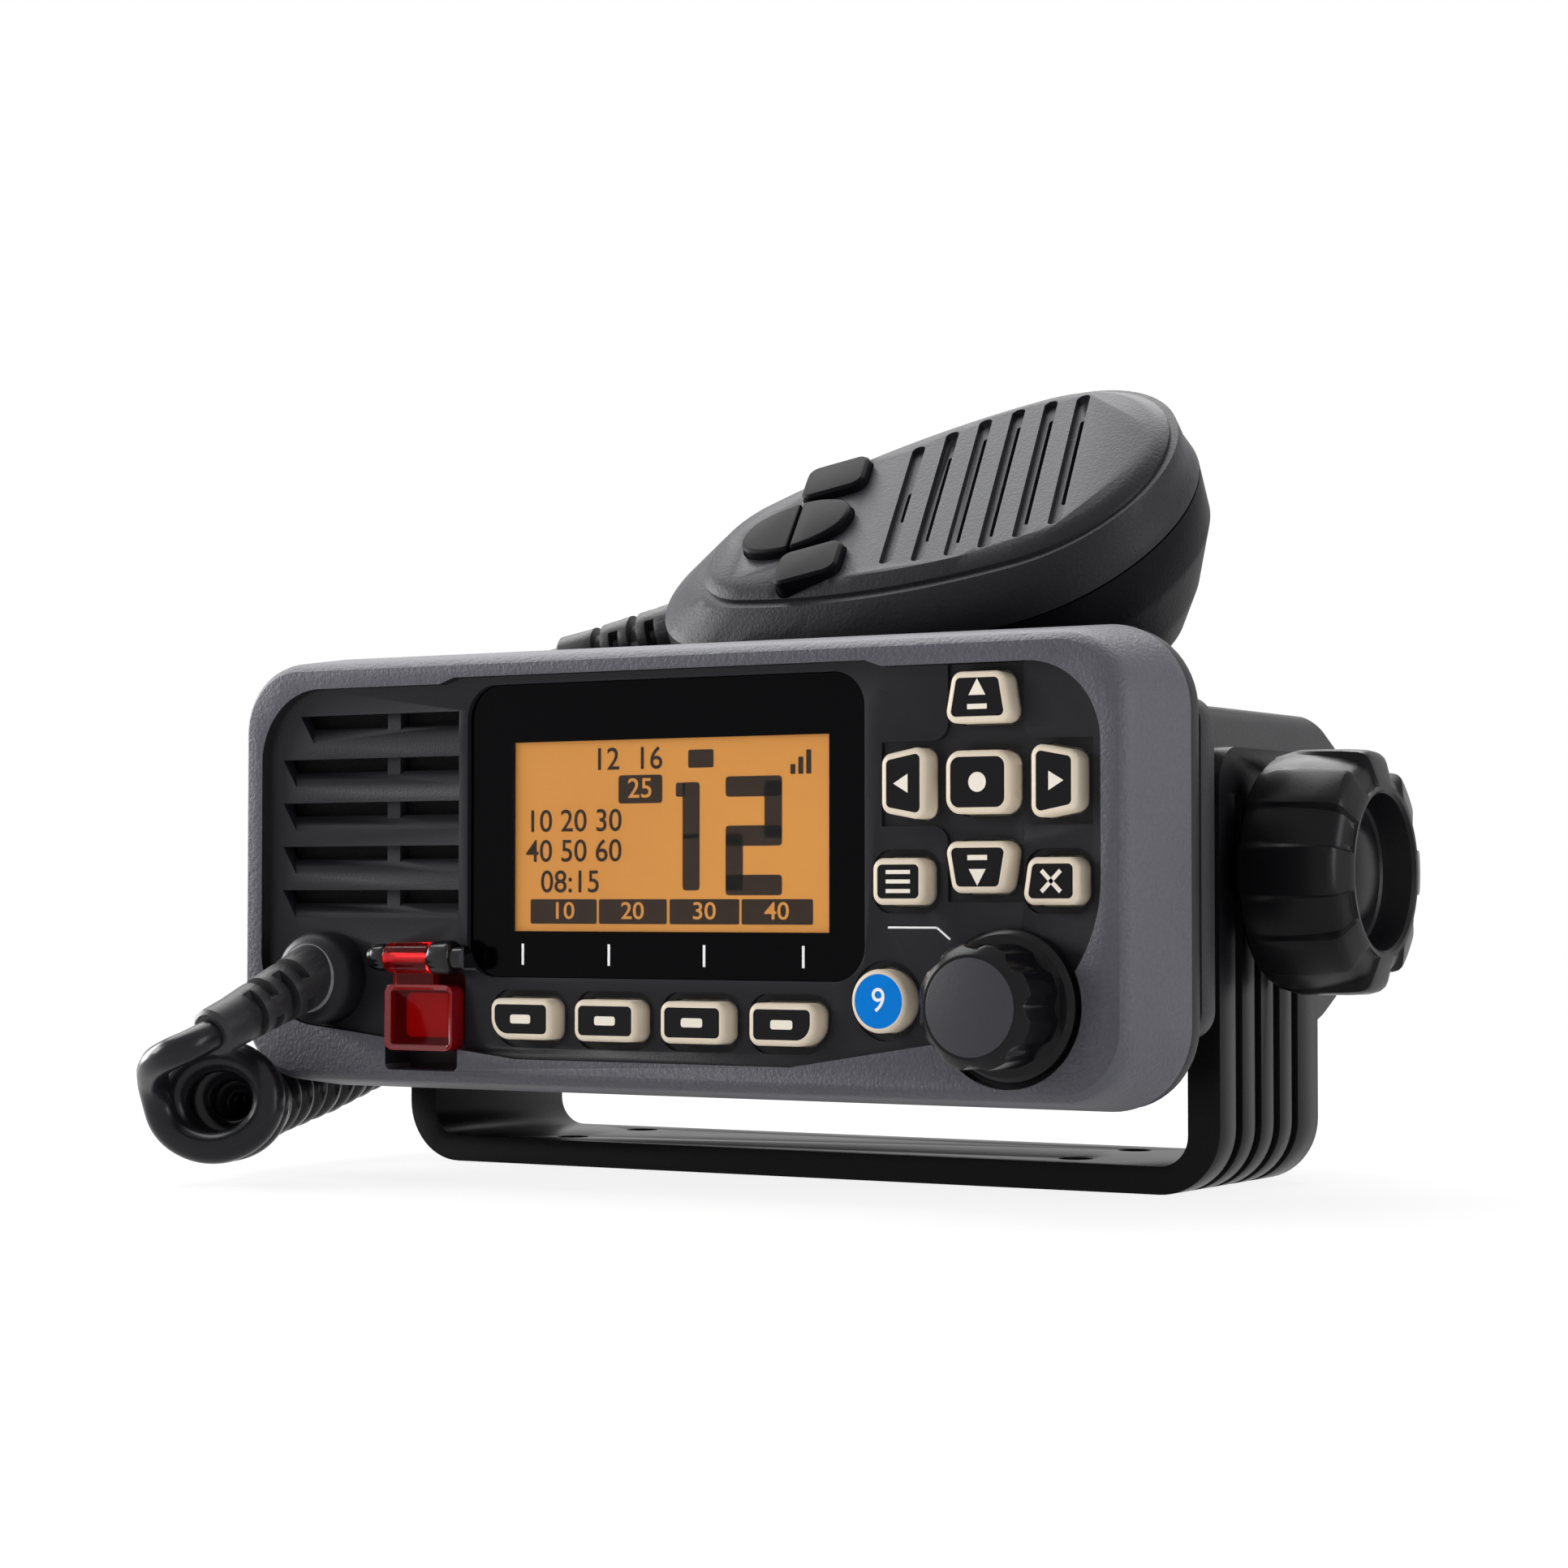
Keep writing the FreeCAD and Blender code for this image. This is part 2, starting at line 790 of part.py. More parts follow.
hinge_z = s.hinge_lift
hinge_y = -s.hinge_y
barrel_left = -s.distress_x - s.barrel_shift - s.barrel_width / 2
barrel_right = barrel_left + s.barrel_width
well_left = -s.distress_x - s.cover_width / 2 - 0.4
well_right = -s.distress_x + s.cover_width / 2 + 0.4
well_low = hinge_y - s.cover_length - s.well_foot
well_high = hinge_y - s.hinge_radius - 0.4
well_floor = -s.distress_floor
pocket_back = well_floor - s.face_wall


def distress_loop(grow):
    return centred(
        -s.distress_x, -s.distress_y, s.distress_width + 2 * grow, s.distress_height + 2 * grow, 1
    )


def hinge_ears():
    """The two black ears of the distress cover's hinge, on feet that stand on the face."""
    solids = []
    spans = {
        "left": (barrel_left - s.ear_left, barrel_left - 0.15),
        "right": (barrel_right + 0.15, barrel_right + s.ear_right),
    }
    for side, (x0, x1) in spans.items():
        ear = circle(hinge_y, hinge_z, s.hinge_radius)
        solids.append(prism("ear_%s" % side, ear, x0, x1, "X"))
        foot = [
            (hinge_y - s.hinge_radius, face - 0.5), (hinge_y + s.hinge_radius, face - 0.5),
            (hinge_y + s.hinge_radius, hinge_z), (hinge_y - s.hinge_radius, hinge_z),
        ]
        solids.append(prism("ear_foot_%s" % side, foot, x0, x1, "X"))
    return solids


def screw_places():
    return [(x, y) for x in (-s.screw_x, s.screw_x) for y in (-s.screw_y, s.screw_y)]


def front_housing():
    tray = housing_shell()
    pocket_block = prism(
        "distress_block",
        rounded(well_left - 1.6, well_low - 0.8, well_right + 1.6, well_high + 0.8, 1),
        pocket_back, face_back + 0.5,
    )
    solids = [tray, pocket_block] + hinge_ears()
    for index, (x, y) in enumerate(screw_places()):
        boss = circle(x, y, s.screw_radius + 1.4)
        solids.append(prism("screw_boss%d" % index, boss, rim_back, face_back + 0.5))
    cutters = grille_cutters() + key_openings() + window_cutters()
    cutters.append(prism("dial_well", circle(s.dial_x, -s.dial_y, s.dial_skirt_radius + 0.9), face, 1))
    cutters.append(prism("dial_hole", circle(s.dial_x, -s.dial_y, s.bush_radius + 0.1), face_back - 1, 1))
    cutters.append(prism("gland_hole", circle(-s.gland_x, -s.gland_y, s.gland_stub + 0.05), face_back - 1, 1))
    cutters.append(prism("gland_seat", circle(-s.gland_x, -s.gland_y, s.gland_radius + 0.4), face, 1))
    well = rounded(well_left, well_low, well_right, well_high, 1)
    cutters.append(prism("distress_well", well, well_floor, 1))
    cutters.append(prism("distress_hole", distress_loop(s.key_clearance), pocket_back - 1, 1))
    cutters.append(
        prism("pin_hole", circle(hinge_y, hinge_z, s.hinge_pin_radius + 0.03),
              barrel_left - s.ear_left + 0.8, barrel_right + s.ear_right - 0.8, "X")
    )
    for index, (x, y) in enumerate(screw_places()):
        bore = circle(x, y, s.screw_radius + 0.03)
        cutters.append(prism("screw_bore%d" % index, bore, rim_back - 1, face_back - 1))
    carved = cut("housing_carved", fuse("housing_solid", *solids), *cutters)
    middle = s.grille_top - s.slot_pitch * (SLOTS - 1) / 2 - s.slot_open
    tall = s.slot_pitch * SLOTS / 2 + 1
    rib = prism(
        "grille_rib",
        rounded(-s.grille_rib_x - s.grille_rib / 2, middle - tall,
                -s.grille_rib_x + s.grille_rib / 2, middle + tall, 0.4),
        face_back - s.rib_back, face - 1.2,
    )
    on_panel("front_housing", fuse("housing_finished", carved, rib))


# Display and keys


def display():
    outline = centred(
        s.window_x, s.window_y, s.window_width, s.window_height, s.window_corner - 0.1
    )
    back = face - s.window_sink - s.window_thick
    on_panel("display_window", prism("window", outline, back, back + s.window_thick))
    glass = centred(s.lcd_x, s.lcd_y, s.lcd_width, s.lcd_height, 0.8)
    frame = centred(s.lcd_x, s.lcd_y, s.lcd_width + 4, s.lcd_height + 4, 1)
    panel = prism("lcd_glass", glass, back - 1.2, back)
    holder = prism("lcd_frame", frame, board_front, back - 1.2)
    on_panel("lcd_module", fuse("lcd", panel, holder))


def keys():
    """Each key is a capped stem with a flange that stops it behind the face."""
    for key in KEYS:
        cap = key_prism(key + "_cap", key, 0, key_back, key_front)
        ease(cap, "Chamfer", s.key_bevel, at_height(key_front))
        loop, _ = KEYS[key]
        flange = prism(key + "_flange", loop(s.key_flange), key_back, key_back + s.key_flange_thick)
        on_panel(key, fuse(key + "_moulding", cap, flange))
    mat_low = -s.softkey_y - s.softkey_height / 2 - 1.6
    mat_step = -s.softkey_y + s.softkey_height / 2 + 1.6
    mat_left = s.window_x - s.softkey_pitch * 1.5 - s.softkey_width / 2 - 1.6
    mat_mid = s.call_x + s.call_radius + 1.6
    mat_turn = -s.menu_y - s.menu_height / 2 - 1.6
    mat_inner = s.nav_x - s.nav_reach - s.nav_short / 2 - 1.4
    mat_right = s.nav_x + s.nav_reach + s.nav_short / 2 + 0.9
    mat_high = s.nav_y + s.nav_reach + s.nav_short / 2 + 1
    outline = [
        (mat_left, mat_low), (mat_mid, mat_low), (mat_mid, mat_turn), (mat_right, mat_turn),
        (mat_right, mat_high), (mat_inner, mat_high), (mat_inner, mat_step), (mat_left, mat_step),
    ]
    on_panel("keypad_mat", prism("mat", outline, mat_back, mat_front))
    edge_y = s.front_height / 2 - s.front_draft_y - s.side_wall - 1
    blank = rounded(well_right + 2.4, -edge_y, mat_right - 1.5, edge_y, 2)
    on_panel("front_board", prism("front_board_blank", blank, board_back, board_front))


def distress_unit():
    pin = circle(hinge_y, hinge_z, s.hinge_pin_radius)
    on_panel("distress_hinge_pin", prism(
        "hinge_pin", pin, barrel_left - s.ear_left + 0.9, barrel_right + s.ear_right - 0.9, "X"
    ))
    x0 = -s.distress_x - s.cover_width / 2
    x1 = -s.distress_x + s.cover_width / 2
    front = hinge_z + 0.3
    back = front - s.cover_thick
    low = hinge_y - s.cover_length
    plate = prism("cover_plate", rounded(x0, low, x1, hinge_y - s.hinge_radius - 0.5, 1), back, front)
    strap = rounded(barrel_left, hinge_y - s.hinge_radius - 1.5, barrel_right, hinge_y, 0.2)
    neck = prism("cover_neck", strap, back, front)
    barrel = prism("cover_barrel", circle(hinge_y, hinge_z, s.hinge_radius), barrel_left, barrel_right, "X")
    lips = [
        prism("cover_lip_left", rounded(x0, low, x0 + 0.9, hinge_y - 3.5, 0.3), back - 1.4, back + 0.2),
        prism("cover_lip_right", rounded(x1 - 0.9, low, x1, hinge_y - 3.5, 0.3), back - 1.4, back + 0.2),
        prism("cover_lip_foot", rounded(x0, low, x1, low + 0.9, 0.3), back - 1.4, back + 0.2),
    ]
    round_pin = circle(hinge_y, hinge_z, s.hinge_pin_radius + 0.05)
    bore = prism("cover_bore", round_pin, barrel_left - 1, barrel_right + 1, "X")
    cover = cut("cover", fuse("cover_solid", plate, neck, barrel, *lips), bore)
    on_panel("distress_cover", cover)
    button = prism("distress_stem", distress_loop(0), pocket_back - 0.85, well_floor + 2.8)
    flange = prism("distress_flange", distress_loop(s.key_flange), pocket_back - 0.85, pocket_back - 0.05)
    on_panel("distress_key", fuse("distress_moulding", button, flange))


def volume_dial():
    """A fluted knob on a push shaft, over the encoder that it turns."""
    x = s.dial_x
    y = -s.dial_y
    bore = s.shaft_radius + 0.02
    seat = face_back - 0.1
    block = prism("encoder_block", centred(x, y, 12.6, 12.6, 1), board_front, seat)
    bush = prism("encoder_bush", circle(x, y, s.bush_radius), seat - 0.5, face + s.bush_rise)
    sleeve = circle(x, y, s.shaft_radius + s.shaft_clearance)
    well = prism("encoder_bore", sleeve, board_front - 1, s.bush_rise)
    on_panel("encoder", cut("encoder_cut", fuse("encoder_solid", block, bush), well))
    tip = face + s.dial_proud - 3.5
    shaft = prism("shaft", circle(x, y, s.shaft_radius), board_front + s.dial_push + 0.1, tip)
    on_panel("encoder_shaft", shaft)
    back = face + s.dial_push + 0.2
    step = back + s.dial_skirt
    front = face + s.dial_proud
    hollow = s.bush_radius + 0.5
    knob = turned("dial_body", [
        (hollow, back), (s.dial_skirt_radius, back), (s.dial_skirt_radius, step - 0.8),
        (s.dial_skirt_radius - 0.8, step), (s.dial_radius, step), (s.dial_radius, front - 1.6),
        (s.dial_cap_radius + 0.4, front - 0.2), (s.dial_cap_radius + 0.02, front - 0.2),
        (s.dial_cap_radius + 0.02, front - 1.4), (0, front - 1.4), (0, tip),
        (bore, tip), (bore, face + s.bush_rise + 0.8), (hollow, face + s.bush_rise + 0.8),
    ], x, y)
    groove = s.dial_radius + s.dial_flute - 0.7
    flute = profile(knob, "flute", [circle(x + groove, y, s.dial_flute)], front + 1)
    carve(knob, flute, front + 1 - step, FLUTES, x, y)
    on_panel("volume_knob", knob)
    on_panel("volume_knob_cap", prism("dial_cap", circle(x, y, s.dial_cap_radius), front - 1.38, front))


def carve(body, sketch, depth, count, x=0, y=0):
    """Pockets a sketch down the body and repeats it round the axis at x, y."""
    pocket = body.newObject("PartDesign::Pocket", body.Name + "_pocket")
    pocket.Profile = sketch
    bind(pocket, {"Length": depth})
    axis = body.newObject("Sketcher::SketchObject", body.Name + "_axis")
    axis.AttachmentSupport = (plane_of(body, "XY_Plane"), [""])
    axis.MapMode = "FlatFace"
    bind(axis, {"AttachmentOffset.Base.x": x, "AttachmentOffset.Base.y": y})
    pattern = body.newObject("PartDesign::PolarPattern", body.Name + "_pattern")
    pattern.Originals = [pocket]
    pattern.Axis = (axis, ["N_Axis"])
    pattern.Angle = 360
    pattern.Occurrences = count
    body.Tip = pattern


def loudspeaker():
    x = -(s.grille_left + s.grille_right) / 2
    y = s.grille_top - (s.slot_pitch * (SLOTS - 1) + s.slot_open + s.slot_lip) / 2
    seat = face_back - s.rib_back
    half_x = (s.grille_left - s.grille_right) / 2
    sheet_outline = rounded(x - half_x, y - s.speaker_radius, x + half_x, y + s.speaker_radius, 3)
    on_panel("speaker_membrane", prism("membrane", sheet_outline, seat - 0.4, seat))
    top = seat - 0.4
    rim = s.speaker_radius
    cone = turned("speaker", [
        (0, top - s.speaker_depth), (rim * 0.55, top - s.speaker_depth), (rim * 0.55, top - 3.5),
        (rim - 2, top - 1), (rim, top - 1), (rim, top), (rim - 2, top), (rim * 0.3, top - 2.5),
        (0, top - 2.5),
    ], x, y)
    on_panel("loudspeaker", cone)


# Chassis


def front_seal():
    half_x = s.front_width / 2 - s.gasket_inset
    half_y = s.front_height / 2 - s.gasket_inset
    corner = s.front_corner - s.gasket_inset
    ring = prism("gasket_ring", rounded(-half_x, -half_y, half_x, half_y, corner), gasket_back, rim_back)
    ease(ring, "Chamfer", s.gasket_chamfer, at_height(gasket_back))
    band = s.gasket_band
    inside = rounded(-half_x + band, -half_y + band, half_x - band, half_y - band, 4)
    hole = prism("gasket_hole", inside, gasket_back - 1, rim_back + 1)
    bores = [
        prism("gasket_bore%d" % n, circle(x, y, s.screw_radius + 0.1), gasket_back - 1, rim_back + 1)
        for n, (x, y) in enumerate(screw_places())
    ]
    on_panel("front_gasket", cut("gasket", ring, hole, *bores))


pivot_y = -s.panel_rise
pivot_z = -s.front_reach
boss_face = s.chassis_width / 2 + s.boss_height


def span(side, near, far):
    """Two distances out from the middle on one side, in rising order."""
    return (side * near, side * far) if side > 0 else (side * far, side * near)



def chassis():
    half_x = s.chassis_width / 2
    half_y = s.chassis_height / 2
    wall = s.chassis_wall
    rear = chassis_back
    inside_end = rear + s.chassis_slope_run + 1
    tub = prism("tub", rounded(-half_x, -half_y, half_x, half_y, s.chassis_edge), rear, flange_back)
    wing = s.front_width / 2 - s.gasket_inset
    flange_half = s.flange_height / 2
    flange = prism("flange", rounded(-wing, -flange_half, wing, flange_half, 4), flange_back, gasket_back)
    fins = []
    height = s.chassis_height - 10
    for index in range(FINS):
        x = s.fin_pitch * (index - (FINS - 1) / 2)
        fin = rounded(x - s.fin_thick / 2, -height / 2, x + s.fin_thick / 2, height / 2, 0.5)
        fins.append(prism("fin%d" % index, fin, rear - s.fin_depth, rear + 1))
    inner = []
    for name, side in (("left", -1), ("right", 1)):
        ends = span(side, half_x - wall - 6, boss_face)
        boss = circle(pivot_y, pivot_z, s.boss_radius)
        inner.append(prism("boss_" + name, boss, *ends, "X"))
    floor = -half_y + wall
    for index, (x, z) in enumerate(post_places()):
        inner.append(prism("post%d" % index, circle(x, z, 3), floor - 0.5, board_level, "Y"))
    cavity = prism(
        "tub_cavity", rounded(-half_x + wall, -half_y + wall, half_x - wall, half_y - wall, 1),
        inside_end, gasket_back + 1,
    )
    upper = [
        (half_y + 1, rear + s.chassis_slope_run), (half_y, rear + s.chassis_slope_run),
        (half_y - s.chassis_slope, rear), (half_y - s.chassis_slope, rear - s.fin_depth - 1),
        (half_y + 1, rear - s.fin_depth - 1),
    ]
    lower = [(-y, z) for y, z in reversed(upper)]
    slopes = [
        prism("tub_slope_" + name, loop, -half_x - 1, half_x + 1, "X")
        for name, loop in (("top", upper), ("foot", lower))
    ]
    shell = cut("tub_shell", fuse("tub_outer", tub, flange, *fins), cavity, *slopes)
    with_bosses = fuse("tub_bossed", shell, *inner)
    bores = []
    for name, side in (("left", -1), ("right", 1)):
        ends = span(side, boss_face - s.insert_length, boss_face + 1)
        seat = circle(pivot_y, pivot_z, s.insert_radius + 0.02)
        bores.append(prism("insert_bore_" + name, seat, *ends, "X"))
    fittings = {
        "socket_hole": circle(-s.socket_x, s.socket_y, s.socket_bore + 0.4),
        "inlet_hole": circle(s.socket_x, s.socket_y, s.inlet_bore + 2),
    }
    for name, hole in fittings.items():
        bores.append(prism(name, hole, rear - 1, inside_end + 1))
    for index, (x, y) in enumerate(screw_places()):
        hole = circle(x, y, s.screw_radius + 0.1)
        bores.append(prism("flange_bore%d" % index, hole, flange_back - 1, gasket_back + 1))
    on_panel("chassis", cut("chassis_casting", with_bosses, *bores))


board_level = -s.chassis_height / 2 + s.chassis_wall + 7


def post_places():
    z0 = flange_back - 8
    z1 = chassis_back + s.chassis_slope_run + 10
    half = s.chassis_width / 2 - s.chassis_wall - 6
    return [(x, z) for x in (-half, half) for z in (z0, z1)]


def electronics():
    half = s.chassis_width / 2 - s.chassis_wall - 1
    front = flange_back - 2
    rear = chassis_back + s.chassis_slope_run + 2
    top = board_level + s.board_thick
    blank = prism("board_blank", rounded(-half, rear, half, front, 1), board_level, top, "Y")
    shields = [
        prism("shield_left", rounded(-half + 14, rear + 14, -6, front - 12, 1), top, top + 5, "Y"),
        prism("shield_right", rounded(4, rear + 22, half - 14, front - 16, 1), top, top + 7, "Y"),
    ]
    on_panel("main_board", fuse("board_populated", blank, *shields))
    wall = chassis_back + s.chassis_slope_run + 1
    module = prism("module", rounded(-28, top + 4, 28, top + 16, 1), wall, wall + 8)
    on_panel("power_module", module)


def rear_fittings():
    x = -s.socket_x
    y = s.socket_y
    rear = chassis_back
    half = s.socket_flange / 2
    plate = prism("socket_plate", rounded(x - half, y - half, x + half, y + half, 3), rear - 2.5, rear)
    mouth = rear - 2.5 - s.socket_length
    barrel = turned("socket_barrel", [
        (0, mouth + s.socket_length - 1), (s.socket_pin, mouth + s.socket_length - 1),
        (s.socket_pin, mouth + 1), (s.socket_pin + 0.8, mouth + 1),
        (s.socket_pin + 0.8, mouth + s.socket_length - 3),
        (s.socket_bore, mouth + s.socket_length - 3), (s.socket_bore, mouth),
        (s.socket_radius, mouth), (s.socket_radius, rear - 1), (s.socket_bore, rear - 1),
        (s.socket_bore, rear + s.chassis_slope_run), (0, rear + s.chassis_slope_run),
    ], x, y)
    on_panel("antenna_socket", fuse("socket", plate, barrel))
    lead = s.inlet_bore
    on_panel("lead_grommet", turned("grommet", [
        (lead, rear - 3), (s.inlet_radius, rear - 3), (s.inlet_radius, rear), (lead + 1.95, rear),
        (lead + 1.95, rear + s.chassis_slope_run), (lead, rear + s.chassis_slope_run),
    ], s.socket_x, y))


def fastenings():
    shanks = []
    for index, (x, y) in enumerate(screw_places()):
        shanks.append(turned("front_screw%d" % index, [
            (0, flange_back - 2), (s.screw_radius + 1.2, flange_back - 2),
            (s.screw_radius + 1.2, flange_back), (s.screw_radius, flange_back),
            (s.screw_radius, face_back - 2), (0, face_back - 2),
        ], x, y))
    on_panel("front_screws", fuse("front_screw_set", *shanks))
    inserts = []
    pads = []
    bore = s.stud_radius + s.stud_clearance
    for name, side in (("left", -1), ("right", 1)):
        ring = [circle(pivot_y, pivot_z, s.insert_radius), circle(pivot_y, pivot_z, bore)]
        ends = span(side, boss_face - s.insert_length, boss_face)
        inserts.append(prism("insert_" + name, ring, *ends, "X"))
        disc = [circle(pivot_y, pivot_z, s.boss_radius), circle(pivot_y, pivot_z, bore + 0.2)]
        ends = span(side, boss_face, boss_face + s.pad_thick)
        pads.append(prism("pad_" + name, disc, *ends, "X"))
    on_panel("clamp_inserts", fuse("insert_pair", *inserts))
    on_panel("clamp_pads", fuse("pad_pair", *pads))


# Bracket and clamp knobs

arm_inner = boss_face + s.pad_thick + s.arm_clearance
arm_outer = arm_inner + s.arm_thick


def bracket():
    """A U of one thickness with ribbed arms, drilled for the clamps and for four bolts."""
    top = s.pivot_height + s.arm_top
    bend = s.bend_radius
    inner_bend = bend - s.arm_thick
    base = s.base_thick
    gap = arm_inner
    half = s.arm_width / 2
    channel = prism("channel", [
        (-arm_outer + bend, 0), (arm_outer - bend, 0, bend), (arm_outer, bend), (arm_outer, top),
        (gap, top), (gap, base + inner_bend, -inner_bend), (gap - inner_bend, base),
        (-gap + inner_bend, base, -inner_bend), (-gap, base + inner_bend), (-gap, top),
        (-arm_outer, top), (-arm_outer, bend, bend),
    ], -half, half, "Y")
    crown = top.number
    ease(channel, "Fillet", s.arm_corner, lambda edge: (
        abs(edge.BoundBox.ZMin - crown) < 0.01 and abs(edge.BoundBox.XLength - edge.Length) < 0.001
    ))
    depth = s.rib_depth
    groove_top = s.pivot_height + s.rib_top
    holes = {
        "pivot_hole": circle(0, s.pivot_height, s.stud_radius + s.stud_slack),
        "index_hole": circle(0, s.pivot_height + s.index_rise, s.index_radius),
    }
    cutters = [
        prism(name, hole, -arm_outer - 1, arm_outer + 1, "X") for name, hole in holes.items()
    ]
    for index in range(RIB_GAPS):
        y = s.rib_pitch * (index - (RIB_GAPS - 1) / 2) - s.rib_shift
        for side in (-1, 1):
            edge = arm_outer + 1
            loop = [
                (arm_outer - bend, -1, bend + 1), (edge, bend), (edge, groove_top),
                (arm_outer - depth, groove_top), (arm_outer - depth, bend, -(bend - depth)),
                (arm_outer - bend, depth),
            ]
            if side < 0:
                loop = mirrored(loop)
            name = "rib_gap%d_%s" % (index, "left" if side < 0 else "right")
            cutters.append(prism(name, loop, y - s.rib_gap / 2, y + s.rib_gap / 2, "Y"))
    for index, (x, y) in enumerate(bolt_places()):
        cutters.append(prism("bolt_hole%d" % index, circle(x, y, s.hole_radius), -1, base + 1))
    piece("mounting_bracket", cut("bracket", channel, *cutters))


def mirrored(loop):
    """The same loop across x = 0, still counterclockwise."""
    count = len(loop)
    flipped = []
    for index in range(count - 1, -1, -1):
        x, y = loop[index][:2]
        before = loop[index - 1]
        flipped.append((-sized(x), y) + ((before[2],) if len(before) == 3 else ()))
    return flipped


def bolt_places():
    half_x = s.hole_spacing_x / 2
    half_y = s.hole_spacing_y / 2
    return [(x, y) for x in (-half_x, half_x) for y in (-half_y, half_y)]


def clamps():
    """Each knob turns a stud in the body's insert and bears on a washer on the arm."""
    stud = s.stud_radius
    head = stud + 2
    head_low = s.knob_length - s.knob_bowl_depth - 4
    button_rise = 2.3
    dome = (s.knob_button * s.knob_button + button_rise * button_rise) / (2 * button_rise)
    floor = s.knob_length - s.knob_bowl_depth
    seat = arm_outer + 0.1
    for name, side in (("left", -1), ("right", 1)):
        ring = [circle(0, 0, s.washer_radius), circle(0, 0, stud + s.stud_slack)]
        washer = prism("washer_" + name, ring, 0, s.washer_thick)
        grip = turned("knob_" + name, [
            (stud + 0.02, 0), (s.knob_radius - s.knob_back_bevel, 0),
            (s.knob_radius, s.knob_edge_from), (s.knob_radius, s.knob_edge_to - 0.6),
            (s.knob_radius - 0.8, s.knob_edge_to), (s.knob_bowl + 0.6, s.knob_length),
            (s.knob_bowl, s.knob_length - 0.5),
            (s.knob_bowl - 0.6, floor), (s.knob_button, floor),
            (s.knob_button, floor + 0.2, dome), (0, floor + 0.2 + button_rise),
            (0, head_low + 3.02), (head + 0.02, head_low + 3.02), (head + 0.02, head_low),
            (stud + 0.02, head_low),
        ])
        reach = s.knob_radius + s.knob_scallop - s.knob_bite
        step = sized(180 / LOBES)
        notch = circle(reach * step.cosine(), reach * step.sine(), s.knob_scallop)
        scallop = profile(grip, "scallop_" + name, [notch], s.knob_length + 1)
        carve(grip, scallop, s.knob_length + 2, LOBES)
        inward = arm_outer - boss_face + s.insert_length - 1.5 + s.washer_thick
        bolt = turned("stud_" + name, [
            (0, -inward), (stud, -inward), (stud, head_low), (head, head_low), (head, head_low + 3),
            (0, head_low + 3),
        ])
        turn = 90 * side
        for label, thing, out in (
            ("clamp_washer_" + name, washer, seat),
            ("clamp_knob_" + name, grip, seat + s.washer_thick + 0.05),
            ("clamp_stud_" + name, bolt, seat + s.washer_thick + 0.05),
        ):
            piece(label, place(thing, side * out, 0, s.pivot_height, 0, turn, 0))


# Cord glands and strain reliefs


def gland():
    """A domed boss through the face, with a nut behind it."""
    x = -s.gland_x
    y = -s.gland_y
    top = face + s.gland_dome
    nut = face_back - 0.05
    on_panel("mic_gland", turned("gland", [
        (s.relief_core, nut - 3), (s.gland_stub + 1.6, nut - 3), (s.gland_stub + 1.6, nut),
        (s.gland_stub, nut), (s.gland_stub, face), (s.gland_radius, face),
        (s.gland_radius, top - 2.4, s.gland_radius * 0.4), (s.gland_ring, top),
        (s.relief_core, top),
    ], x, y))


def relief_solid(name, length, root):
    """A tapered sleeve whose staggered slots leave a spine on alternate sides."""
    half_spine = s.relief_spine
    core = s.relief_core
    sleeve = turned(name, [
        (0, 0), (root, 0), (s.relief_tip, length - s.relief_collar),
        (s.relief_tip, length - 0.6), (s.relief_tip - 0.6, length), (0, length),
    ])
    edge = root + 2
    rise = (core * core - half_spine * half_spine).root()
    slot = [
        (half_spine, -edge), (edge, -edge), (edge, edge), (half_spine, edge),
        (half_spine, rise, -core), (half_spine, -rise),
    ]
    pair = [slot, mirrored(slot)]
    crossed = [[(-point[1], point[0]) + tuple(point[2:]) for point in loop] for loop in pair]
    gaps = []
    for index in range(RELIEF_SLOTS):
        start = length - s.relief_collar - s.relief_pitch * (index + 1)
        loops = crossed if index % 2 else pair
        gaps.append(prism("%s_gap%d" % (name, index), loops, start, start + s.relief_gap))
    return cut(name + "_slotted", sleeve, *gaps)


def front_relief():
    sleeve = relief_solid("front_sleeve", s.relief_length + 2, s.relief_root)
    base = face + s.gland_dome
    droop = s.relief_droop
    lean = s.relief_lean
    back = 2 * droop.cosine()
    place(
        sleeve, -s.gland_x + back * lean.sine(), -s.front_reach - base + back * lean.cosine(),
        panel_up - s.gland_y + 2 * droop.sine(), -lean, 0, 90 + droop,
    )
    trim = prism("relief_trim", circle(-s.gland_x, -s.gland_y, s.gland_radius * 2), base - 6, base)
    place(trim, 0, -s.front_reach, panel_up, 0, 0, 90)
    piece("front_relief", cut("relief_trimmed", sleeve, trim))


# Microphone


def oval(head_at, head, tail_at, tail, side, inset=0):
    """Two end circles on the x axis joined by side arcs that touch both."""
    length = head_at - tail_at
    to_tail = side - tail
    to_head = side - head
    along = (length * length + to_tail * to_tail - to_head * to_head) / (2 * length)
    drop = (to_tail * to_tail - along * along).root()
    middle = tail_at + along
    head_x = head_at + (head - inset) * (head_at - middle) / to_head
    head_y = (head - inset) * drop / to_head
    tail_x = tail_at + (tail - inset) * (tail_at - middle) / to_tail
    tail_y = (tail - inset) * drop / to_tail
    return [
        (head_x, -head_y, head - inset), (head_at + head - inset, 0, head - inset),
        (head_x, head_y, side - inset), (tail_x, tail_y, tail - inset),
        (tail_at - tail + inset, 0, tail - inset), (tail_x, -tail_y, side - inset),
    ]


